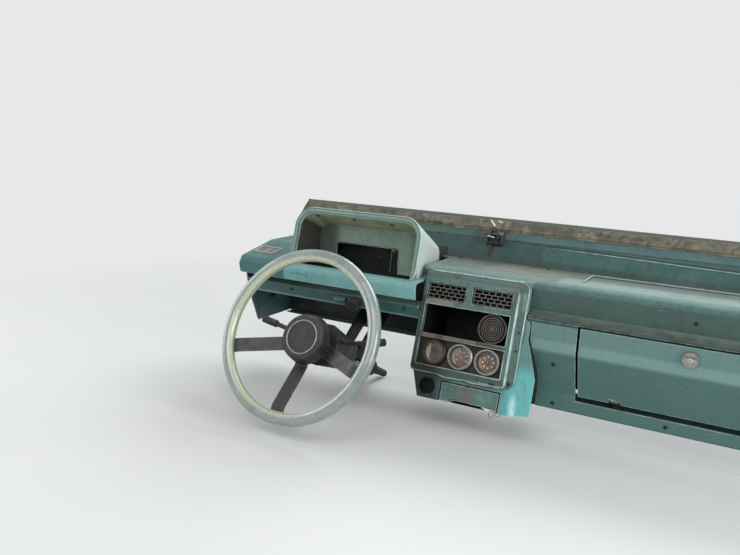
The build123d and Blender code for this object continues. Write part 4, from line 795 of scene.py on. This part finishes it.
for finish, names in (
        (inner_black_and_shade, "air_box slot_box ash_sleeve glove_bin"),
        (black, "gauge_plate panel_knob wheel_pad stalk_left stalk_right"),
        (black, "column_shroud_upper column_shroud_lower"),
        (column_black, "column_tube column_hanger column_strap cross_tube"),
        (vent_grey, "vent_grille_left vent_grille_right"),
        (zinc, "glove_hinge_left glove_hinge_right"),
        (chrome, "glove_latch ignition_lock"),
        (ring_grey, "gauge_case_2 gauge_case_3"),
        (aged_dial, "gauge_dial_2 gauge_dial_3"),
        (gauge_glass(), "gauge_lens_1 gauge_lens_2 gauge_lens_3")):
    finishes.update(dict.fromkeys(names.split(), finish))
finishes.update(
    steering_shaft=dark_steel, screen_seal=sealant, screen_catch=catch_black,
    rim_cover=rim_sleeve(), wheel_frame=wheel_core(),
    round_grille=grille_grey("grille brown grey", (76, 72, 68), (10, 10, 10), (120, 112, 106), 0.4, 2.4),
    side_vent=moulded("worn vent white", (188, 192, 186), (222, 222, 214), rubbed=1, dust=0.5),
    socket_cap=moulded("socket black", (7, 7, 6), (48, 50, 45), rubbed=0.4, dust=0, gloss=0.15),
    gauge_case_1=metal("dull gauge ring", (66, 60, 54), (0.4, 0.6), 0.3),
    gauge_dial_1=dial_face("dull dial", (110, 96, 80), (66, 54, 42), 0.9, (70, 62, 50), 0.85))
for node, thing in nodes.items():
    for place in range(len(thing.data.materials)):
        thing.data.materials[place] = finishes.get(node, teal)


# Screws, bolts and nuts, each on the face that a ray meets

def seated(name, node, spots, way, finish=dark_steel, body="dash", head=screw_head, **size):
    """Heads where rays from the spots meet a node, each on its own face."""
    piece(name, [head(resting(node, start, way), **size) for start in spots], finish, body=body)


seated("bezel_side_screws", "stack_bezel", on(STACK, [(112.5, 6.3, 40), (112.3, -30, 40)]), INTO_STACK,
       radius=2.3, rise=1, groove=0.7)
seated("bezel_corner_screw", "stack_bezel", on(STACK, [(108.8, -95.6, 40)]), INTO_STACK, radius=3.4, rise=1.3)
seated("hood_screws", "instrument_hood", [(-477.6, -146, 120), (-382.3, -146, 120), (-291.7, -138, 120)],
       UPWARDS, radius=5, rise=1.6, groove=1.6, cross=False)
seated("fascia_screws", "right_fascia", [(x, -260, 60) for x in (620, 330)], INTO_DASH, radius=4)
seated("glove_frame_screws", "glove_frame", [(x, -260, z) for x, z in (
    (88, -60), (590, 0), (590, -60), (590, -110), (88, -146), (300, -146), (590, -146))], INTO_DASH, radius=4)
seated("knee_panel_screws", "knee_panel", [(x, -260, 6) for x in (-620, -520, -230)], INTO_DASH,
       radius=3.8)
seated("shelf_screws", "dash_top", [(x, -14, 160) for x in (-180, 20, 220, 420, 600)],
       DOWNWARDS, radius=4.2)
seated("left_top_screws", "left_top", [(x, -14, 160) for x in (-632, -550)], DOWNWARDS, radius=4)
seated("shroud_screws", "column_shroud_lower", [
    (-371, -300, -230), (-400, -225, -230), (-342, -225, -230)], UPWARDS)
seated("latch_key_slot", "glove_latch", [(330.7, -260, 0)], INTO_DASH, bright, "glove_lid_body",
       radius=4.6, rise=0.8, groove=1.3, cross=False, turn=90)
seated("ignition_key_slot", "ignition_lock", [(-220, -262.2, -114.3)], (-1, 0, 0), bright,
       radius=7, rise=0.9, groove=1.6, cross=False, turn=90)
seated("strap_bolts", "column_strap", [(-411, -175, -230), (-331, -175, -230)], UPWARDS, head=hex_head,
       across_flats=8, height=4.5, washer=4.6)
for number, u in enumerate(GAUGES, 1):
    spots = on(STACK, [(u - 12, GAUGE_ROW, -95), (u + 12, GAUGE_ROW, -95)])
    seated(f"gauge_nuts_{number}", f"gauge_case_{number}", spots, STACK[1][W], head=hex_head,
           across_flats=7, height=4.5, washer=5.5)
for side, x in (("left", -648), ("right", 648)):
    wall = plane((x, -88, 0), UPWARDS, (0, -np.sign(x), 0))
    piece(f"pillar_bolts_{side}", [hex_head(wall, (0, z, 0)) for z in (-45, 45)], dark_steel)
piece("bulkhead_bolts", [hex_head(FRONT, (x, z, 2)) for x in (-500, 500) for z in (-60, 60)], dark_steel)


# Printed dials

def lettered(centre, radius, labels, degrees, size):
    """Dial figures: thin upright outlines at P = centre + r (sin a across + cos a up)."""
    shells = []
    for label, angle in zip(labels, np.radians(degrees)):
        words = bpy.data.curves.new("figure", "FONT")
        words.body, words.size = label, size
        words.align_x = words.align_y = "CENTER"
        words.extrude, words.resolution_u = 0.05, 2
        holder = bpy.data.objects.new("figure", words)
        mesh = bpy.data.meshes.new_from_object(holder)
        mesh.calc_loop_triangles()
        co = np.zeros(len(mesh.vertices) * 3, np.float32)
        mesh.vertices.foreach_get("co", co)
        corners = np.zeros(len(mesh.loop_triangles) * 3, np.int32)
        mesh.loop_triangles.foreach_get("vertices", corners)
        at = np.array(centre) + (radius * sin(angle), radius * cos(angle), 0.06)
        shells.append((on(STACK, co.reshape(-1, 3) + at), corners.reshape(-1, 3)))
        bpy.data.objects.remove(holder)
        bpy.data.curves.remove(words)
        bpy.data.meshes.remove(mesh)
    return shells


def dial_print(number, middle, ink, figures=()):
    """Long strokes, short strokes and figures on one dial, over a sweep to both sides of its top."""
    sweep, outer = 120, 19.2
    shells = [strokes(middle, inner, outer, np.linspace(-sweep, sweep, count), width)
              for inner, count, width in ((15.4, 11, 1.3), (17.6, 41, 0.6))]
    if figures:
        shells += lettered(middle, 11.2, figures, np.linspace(-sweep, sweep, len(figures)), size=5.4)
    piece(f"dial_marks_{number}", shells, ink)


def dots(number, middle, radius, count, ink, size, first):
    """Low turned domes in a ring: middles at radius (sin a, cos a) from the first angle on."""
    dome = [(0, 0), (size, 0), (size, 0.15), (0, 0.22)]
    shells = [turned(STACK, np.array(middle) + (radius * sin(a), radius * cos(a), 0), dome, 12)
              for a in around(count) + radians(first)]
    piece(f"dial_dots_{number}", shells, ink)


def bleached_side():
    """Where the first gauge's card has bleached: from a straight side at u = -11.2 out to the ring,
    P(v, t) = lerp(straight side, -(R^2 - v^2)^0.5, t) with R = 20.4."""
    side, radius = -11.2, 20.4
    v = np.linspace(-16.9, 16.9, 36)[:, None]
    t = np.array([0, 0, 0.5, 1, 1])
    rise = np.array([0, 0.14, 0.2, 0.14, 0])
    rim = -np.sqrt(radius ** 2 - v ** 2)
    card = spread(side + (rim - side) * t, v, rise)
    return on(STACK, card + DIALS[0]), quads(*card.shape[:2])


dim = print_ink("dim dial print", (66, 60, 52), (110, 100, 88))
dark = print_ink("dark dial print", (34, 32, 30), (70, 66, 60))
pale = print_ink("pale dial print", (206, 202, 184), (226, 222, 206))
white = print_ink("white dial print", (238, 236, 224), (248, 246, 238))
amber = print_ink("amber dial print", (222, 158, 88), (232, 190, 124))
rose = print_ink("rose dial print", (214, 178, 172), (226, 200, 190))
bleached = print_ink("bleached card", (186, 180, 164), (206, 200, 184))
dial_print(1, DIALS[0], dim)
dial_print(2, DIALS[1], white, ("20", "40", "60", "80", "100", "120"))
dial_print(3, DIALS[2], dim)
dots(2, DIALS[1], 5.4, 5, rose, 0.9, 150)
dots(3, DIALS[2], 11.2, 8, white, 1.9, -6)
for number, middle in ((2, DIALS[1]), (3, DIALS[2])):
    piece(f"dial_band_{number}", [arc(middle, 16.8, -150, -66, 3)], amber)
    piece(f"dial_rim_{number}", [arc(middle, 20.2, 6, 174, 1.3)], pale)
    piece(f"dial_edge_{number}", [arc(middle, 21.6, -178, 178, 1.5, 0.2, 72)], dark)
hub = DIALS[2] + np.array((0, 0, 1))
cap, cap_dot = [(0, 0), (4, 0), (4, 0.6), (2.4, 1), (0, 1.1)], [(0, 0), (1.3, 0), (1.2, 0.3), (0, 0.4)]
piece("dial_hub_3", [turned(STACK, hub, cap, 20)], dark)
piece("dial_hub_dot_3", [turned(STACK, hub + (0, 0, 1), cap_dot, 12)], white)
piece("dial_bleached_card", [bleached_side()], bleached)


# Sealant worked up from the strip onto the sheet, and ties lying in it

SLOPE_UP, SLOPE_OUT = (0, 0.742, 0.670), (0, -0.670, 0.742)


def sealant_bead(y, z, width, height, seed):
    """A smeared bead along the strip: P(x, k) = (x, y, z) + section_k times 1 + waves, with its line moved by
    slow waves too. The waves are a seeded sum of sines."""
    rng = np.random.default_rng(seed)
    x = np.linspace(-645, 645, 420)
    waves = sum(rng.uniform(0.3, 1) / k ** 0.5
                * np.sin(x * 0.011 * k * rng.uniform(0.8, 1.2) + rng.uniform(0, 6)) for k in range(1, 14))
    waves /= np.abs(waves).max()
    path = spread(x, y, z) + (1.6 * waves)[:, None] * SLOPE_UP
    return carried(path, disc(1, 10) * (width, height), SLOPE_OUT, 1 + 0.45 * np.roll(waves, 57))


def tie(points, width, start, end):
    """A flat plastic strip along a smooth curve through points, its section growing from start to end."""
    line = curve(points, 8)
    return carried(line, slab(width, 1.1), SLOPE_OUT, np.linspace(start, end, len(line)))


piece("sealant_lower_bead", [sealant_bead(42.6, 159.6, 3.6, 1.8, 3)], sealant)
piece("sealant_upper_bead", [sealant_bead(60.6, 177.2, 3, 1.6, 7)], sealant)
nylon = moulded("yellowed nylon", (226, 226, 218), (244, 244, 238), (0.3, 0.5), rubbed=0.3, dust=0.05)
long_tie = [(-141, 55.4, 181), (-136.6, 51.8, 177.8), (-130, 46.2, 172.6), (-124.6, 41.4, 168.4)]
short_tie = [(-122, 54.2, 179.6), (-116.4, 52.6, 178), (-110.7, 50.8, 176.4)]
piece("tie_tails", [tie(long_tie, 3.4, 0.5, 1.7), tie(short_tie, 3.2, 0.9, 1.1)], nylon)


# The catch on the screen slope

def rod(points, radius, steps=10):
    """A round bar carried along a smooth curve through points."""
    return carried(curve(points, steps), disc(radius, 10), (0.31, 0.2, 0.93))


lever = [(-124, 26, 146), (-123.5, 17, 138), (-121.5, 10, 124), (-119.6, 8, 114), (-119, 7, 106.5)]
lever_end = plane((-119, 6.6, 107), (0.1, 1, -0.1))
bulb = [(0, -4), (3, -3.2), (3.6, 0), (3, 3.2), (0, 4)]
left_pin = [(-128.5, 7.2, 150.2), (-120, 6.8, 148.8), (-111.5, 6.8, 147.4)]
right_pin = [(-104, 13.4, 156.6), (-99.5, 13.4, 156.2), (-94.6, 13.6, 155.8)]
block = np.array([(-101, 18, 134), (-101, 17, 160)])
piece("catch_lever", [rod(lever, 2.4)], catch_black)
piece("catch_lever_tip", [turned(lever_end, (0, 0, 0), bulb, 20)], catch_black)
piece("catch_pins", [rod(left_pin, 1.5, 6), rod(right_pin, 1.4, 6)], bright)
piece("catch_block", [carried(block, slab(9, 13), (1, 0, 0))], catch_black)


# Seams, edges and small parts of the stack, fascia and hood

def folded(face, front, back):
    """A closed sheet from its front rows and its back ones, which lie over each other."""
    rows = np.concatenate([front, back[::-1]])
    count, columns = rows.shape[:2]
    r = np.arange(count // 2 - 1)
    across = count - 1 - r
    first = np.stack([r * columns, (r + 1) * columns, (across - 1) * columns, across * columns], -1)
    caps = np.concatenate([first, first[:, ::-1] + columns - 1])
    return on(face, rows), np.concatenate([quads(count, columns, ring=False, loop=True), caps])


def rocker(face):
    """A low switch: P(u, v) = (u, v, w), w = 6 s + 2.4 s exp(-((v - 3.4) / 1.8)^2) - 0.6 with
    s = (1 - |u / 17|^6)^0.5 (1 - |v / 9|^4)^0.5, over a flat foot at w = -1.4."""
    u = np.linspace(-17, 17, 29)
    v = np.linspace(-9, 9, 19)[:, None]
    s = np.sqrt(np.clip(1 - np.abs(u / 17) ** 6, 0, 1)) * np.sqrt(np.clip(1 - np.abs(v / 9) ** 4, 0, 1))
    top = spread(u, v, 6 * s + 2.4 * s * np.exp(-((v - 3.4) / 1.8) ** 2) - 0.6)
    return folded(face, top, spread(u, v, -1.4))


def torn_foot():
    """Where the drawer's foot has torn, its white core shows: a ragged sheet 1.1 mm thick that swells by
    0.9 mm, whose lower edge is a seeded sum of sines."""
    u = np.linspace(62, 91, 48)
    rng = np.random.default_rng(5)
    ragged = sum(rng.uniform(0.4, 1) * np.sin(u * k * 0.21 + rng.uniform(0, 6)) / k ** 0.6
                 for k in range(1, 9))
    top = -150.4 - 0.06 * (u - 62)
    low = top - 2.6 - 1.2 * ragged - 1.4 * np.exp(-((u - 73) / 5) ** 2)
    t = np.linspace(0, 1, 6)[:, None]
    front = spread(u, top + (low - top) * t, 0.7 + 0.9 * np.sin(pi * t))
    return folded(STACK, front, front - (0, 0, 1.1))


def trim_between(rows, bulge=2.2, depth=7):
    """A rubber strip that fills a gap: rows are (left x, right x, front y, z), and across each the section is
    P(t) = left + (right - left) t, front - bulge sin(pi t), closed depth mm behind."""
    left, right, front, z = np.array(rows, float).T[:, :, None]
    t = np.linspace(0, 1, 9)
    face = spread(left + (right - left) * t, front - bulge * np.sin(pi * t), z)
    ring = np.concatenate([face, face[:, ::-1] + (0, depth, 0)], 1)
    ends = [ring[[k]].mean(1, keepdims=True).repeat(ring.shape[1], 1) for k in (0, -1)]
    ring = np.concatenate([ends[0], ring, ends[1]])
    return ring, quads(*ring.shape[:2])


def peg(face, radius=4.2, rise=5.5):
    """A push peg: a waist of 0.6 r, a flange r and a domed top, turned round the face's out axis."""
    r, h = radius, rise
    profile = [(0, -1), (0.7 * r, -1), (0.6 * r, 0.35 * h), (r, 0.45 * h), (1.04 * r, 0.62 * h),
               (0.86 * r, 0.86 * h), (0.4 * r, h), (0, 1.02 * h)]
    return turned(face, (0, 0, 0), profile, 24)


def foot_curl():
    """The bezel's foot has curled off the housing: a thin lip 3 by 1.2 mm that leans out, on the line
    v = -105.6 - 1.9 wave + 0.5 sin(31 s), w = 7.4 + 3.4 wave (1 - 0.5 s), wave = sin^2(2.4 pi s), with s
    from 0 to 1."""
    u = np.linspace(-44, 98, 90)
    s = (u + 44) / 142
    wave = np.sin(s * 2.4 * pi) ** 2
    line = on(STACK, spread(u, -105.6 - 1.9 * wave + 0.5 * np.sin(s * 31), 7.4 + 3.4 * wave * (1 - 0.5 * s)))
    fade = np.clip(np.minimum(s, 1 - s) * 14, 0.15, 1)
    return carried(line, slab(3, 1.2), STACK[1][W] + 0.9 * STACK[1][V], fade)


def fold_bead():
    """The scuttle's fold: a bead 2.6 by 1.6 mm laid where rays along y meet the sheet, z falling 2 in 100
    to the right, and thinner towards its left end."""
    x = np.linspace(16, 640, 60)
    z = 137.4 - 0.02 * (x + 5)
    line = np.array([resting("scuttle_panel", (a, -80, b), INTO_DASH)[0] for a, b in zip(x, z)]) - (0, 0.4, 0)
    return carried(line, slab(2.6, 1.6), (0, -0.5, 0.87), np.clip((x + 20) / 140, 0.2, 1))


seam = [
    (38.4, 41.6, -172, 22), (38.8, 42.2, -172, 0), (39.6, 43.4, -172, -20), (42.6, 46.4, -171, -34),
    (45.8, 52.4, -163, -60), (47.2, 54.6, -156, -80), (46.2, 55.6, -149, -100), (43.4, 55.2, -142.5, -120),
    (42.2, 54.6, -141.4, -140), (41.4, 54, -141.2, -157)]
shelf_line = [(116, -100, 97.4), (116.6, -70, 97.8), (117.4, -36, 98.2), (122, -30, 98.4), (150, -29, 98.2),
              (360, -28, 98), (636, -28, 98)]
clip_line = [(-302.4, -98.6, 104), (-305, -99, 109.4), (-309, -99, 109), (-309.6, -99.2, 103),
             (-311, -99.4, 84), (-313, -99.6, 60)]
left_spring = [(79, -152, -1), (78, -158, -1.5), (80, -166, -1.8), (86, -165, -2), (88, -157, -2.2),
               (88.5, -151, -2)]
right_spring = [(88.8, -152, -3), (93, -162, -3.4), (99, -160, -3.8), (103, -154, -4.2)]
rubber = moulded("perished rubber", (19, 20, 20), (70, 68, 62), (0.6, 0.85), 400, rubbed=0.4, dust=0.5)
old_peg = moulded("grey brown peg", (104, 96, 84), (150, 142, 126), dust=0.4)
lip_paint = painted("curled foot teal", (150, 146, 132), (112, 116, 106), rubbed=1.4, dirt_and_shade=0.8, dust=0.2)
# The fold bead's pale paint is worn paint with a painted highlight along the fold
fold_wear_and_highlight = painted("worn fold teal", (128, 152, 146), (92, 122, 116), rubbed=1.3, dirt_and_shade=0.8, dust=0.3)
edge_paint = painted("shelf edge teal", (140, 166, 162), (112, 142, 138), rubbed=1.2, dirt_and_shade=0.6, dust=0.4)
torn_core = moulded("torn plastic core", (236, 230, 220), (248, 244, 236), (0.6, 0.8), rubbed=0.4, dust=0.1,
                    dirt_and_shade=0.3)
rusty_wire = metal("rusty wire", (120, 88, 66), (0.5, 0.7), 0.8)
piece("panel_seam_rubber", [trim_between(seam)], rubber)
piece("bezel_peg", [peg(resting("stack_bezel", on(STACK, (-34, 100.5, 40)), INTO_STACK))], old_peg)
piece("bezel_foot_lip", [foot_curl()], lip_paint)
piece("scuttle_fold_bead", [fold_bead()], fold_wear_and_highlight)
piece("opening_clip", [carried(curve(clip_line), disc(0.95), (0, -1, 0.05))], zinc)
piece("knee_switch", [rocker(resting("knee_panel", (-389, -240, 1), INTO_DASH))], finishes["knee_panel"])
piece("shelf_tray_edge", [carried(curve(shelf_line), slab(3.4, 3.6))], edge_paint)
piece("drawer_torn_foot", [torn_foot()], torn_core, "ash_drawer_body")
piece("drawer_spring_ends", [carried(curve(on(STACK, line), 8), disc(0.55), (0.3, 0.9, 0.2))
                             for line in (left_spring, right_spring)], rusty_wire, body="ash_drawer_body")
pad_face = resting("wheel_pad", on(WHEEL, (0, 34, 160)), -WHEEL[1][W])
pad_level = float((pad_face[0] - WHEEL[0]) @ WHEEL[1][W])
ring = [(32.6, -0.8), (33, 0.9), (34.4, 1.4), (35.8, 0.9), (36.2, -0.8)]
piece("pad_ring", [turned(WHEEL, (0, 0, pad_level), ring, 72, loop=True)], zinc, body="steering")


# Floor, lights and camera

SURROUND = tint(231, 233, 233)


def seen_share(tree):
    """1 for rays from the camera, off gloss and through glass, else 0."""
    path = tree.nodes.new("ShaderNodeLightPath")
    total = path.outputs["Is Camera Ray"]
    for ray in ("Is Glossy Ray", "Is Transmission Ray"):
        either = tree.nodes.new("ShaderNodeMath")
        either.operation, either.use_clamp = "ADD", True
        tree.links.new(total, either.inputs[0])
        tree.links.new(path.outputs[ray], either.inputs[1])
        total = either.outputs[0]
    return total


def pale_floor():
    """A flat floor: z = the object's foot, x and y to 9 m. Near the object it is lit and takes the shadow.
    Further off, what the camera, gloss and glass see goes over to the surround's colour, so no horizon
    shows."""
    foot = cad_box[0][2] - 0.001
    x = np.linspace(-9, 9, 13)
    grid = spread(x, x[:, None], foot)
    f = Finish("pale floor", (236, 237, 236), 0.1, Roughness=0.9)
    f.lay(f.cloud(3, 0.3, 0.7), (232, 234, 234))
    far = f.span(f.vector("DISTANCE", f.spot, (0, -0.1, foot)), 0.85, 2.1)
    glow = f.node("Emission", {}, {"Color": SURROUND, "Strength": 1})
    share = f.both(far, seen_share(f.tree))
    blend = f.node("MixShader", {}, {0: share, 1: f.shader.outputs[0], 2: glow.outputs[0]})
    out = next(n for n in f.tree.nodes if n.type == "OUTPUT_MATERIAL")
    f.tree.links.new(blend.outputs[0], out.inputs["Surface"])
    mesh = bpy.data.meshes.new("floor")
    mesh.from_pydata(grid.reshape(-1, 3).tolist(), [], quads(*grid.shape[:2], ring=False).tolist())
    mesh.materials.append(f.done())
    made = linked("floor", mesh)


def lamp(name, place, aim, size, power, colour=(1, 1, 1)):
    """A soft rectangular lamp that points from its place to its aim."""
    light = bpy.data.lights.new(name, "AREA")
    light.shape, light.size, light.size_y = "RECTANGLE", *size
    light.energy, light.color = power, colour
    made = linked(name, light)
    made.location = place
    made.rotation_euler = (Vector(aim) - Vector(place)).to_track_quat("-Z", "Y").to_euler()


def pale_world(light):
    """A surround that lights the object at a share of its strength, and is seen at full strength."""
    world = bpy.data.worlds.new("pale surround")
    bpy.context.scene.world = world
    world.use_nodes = True
    sky = world.node_tree
    strength = sky.nodes.new("ShaderNodeMapRange")
    strength.inputs["To Min"].default_value, strength.inputs["To Max"].default_value = light, 1
    sky.links.new(seen_share(sky), strength.inputs[0])
    surround = next(n for n in sky.nodes if n.type == "BACKGROUND")
    surround.inputs["Color"].default_value = SURROUND
    sky.links.new(strength.outputs[0], surround.inputs["Strength"])


def photo_camera(place, yaw, pitch, roll, focal):
    """The photo's camera on a 36 mm sensor, turned by degrees to its left, downwards and leaning left."""
    turn = (Matrix.Rotation(radians(yaw), 3, "Z") @ Matrix.Rotation(radians(-pitch), 3, "X")
            @ Matrix.Rotation(radians(-roll), 3, "Y"))
    right, forward, upward = (turn.col[k] for k in range(3))
    lens = bpy.data.cameras.new("camera")
    lens.sensor_width, lens.lens = 36, focal
    lens.clip_start, lens.clip_end = 0.05, 50
    camera = linked("camera", lens)
    camera.matrix_world = Matrix.Translation(place) @ Matrix((right, upward, -forward)).transposed().to_4x4()
    bpy.context.scene.camera = camera


pale_floor()
lamp("window_light", (0.3, 1.6, 1.9), (0, -0.1, 0.05), (2.6, 1.2), 44, (0.97, 0.99, 1))
lamp("cab_light", (0.2, -2.4, 2), (0, -0.1, 0), (2.6, 2), 34)
lamp("right_door_light", (2.3, -0.9, 0.7), (0, -0.15, -0.05), (1.4, 1.4), 34, (0.98, 1, 0.99))
lamp("left_door_light", (-2.3, -0.9, 0.7), (-0.2, -0.15, 0), (1.4, 1.4), 14, (0.98, 1, 0.99))
pale_world(0.34)
photo_camera((0.4462, -1.5405, 0.3855), yaw=29.32, pitch=11.79, roll=2.23, focal=36.03)
bpy.context.scene.view_settings.view_transform = "Standard"
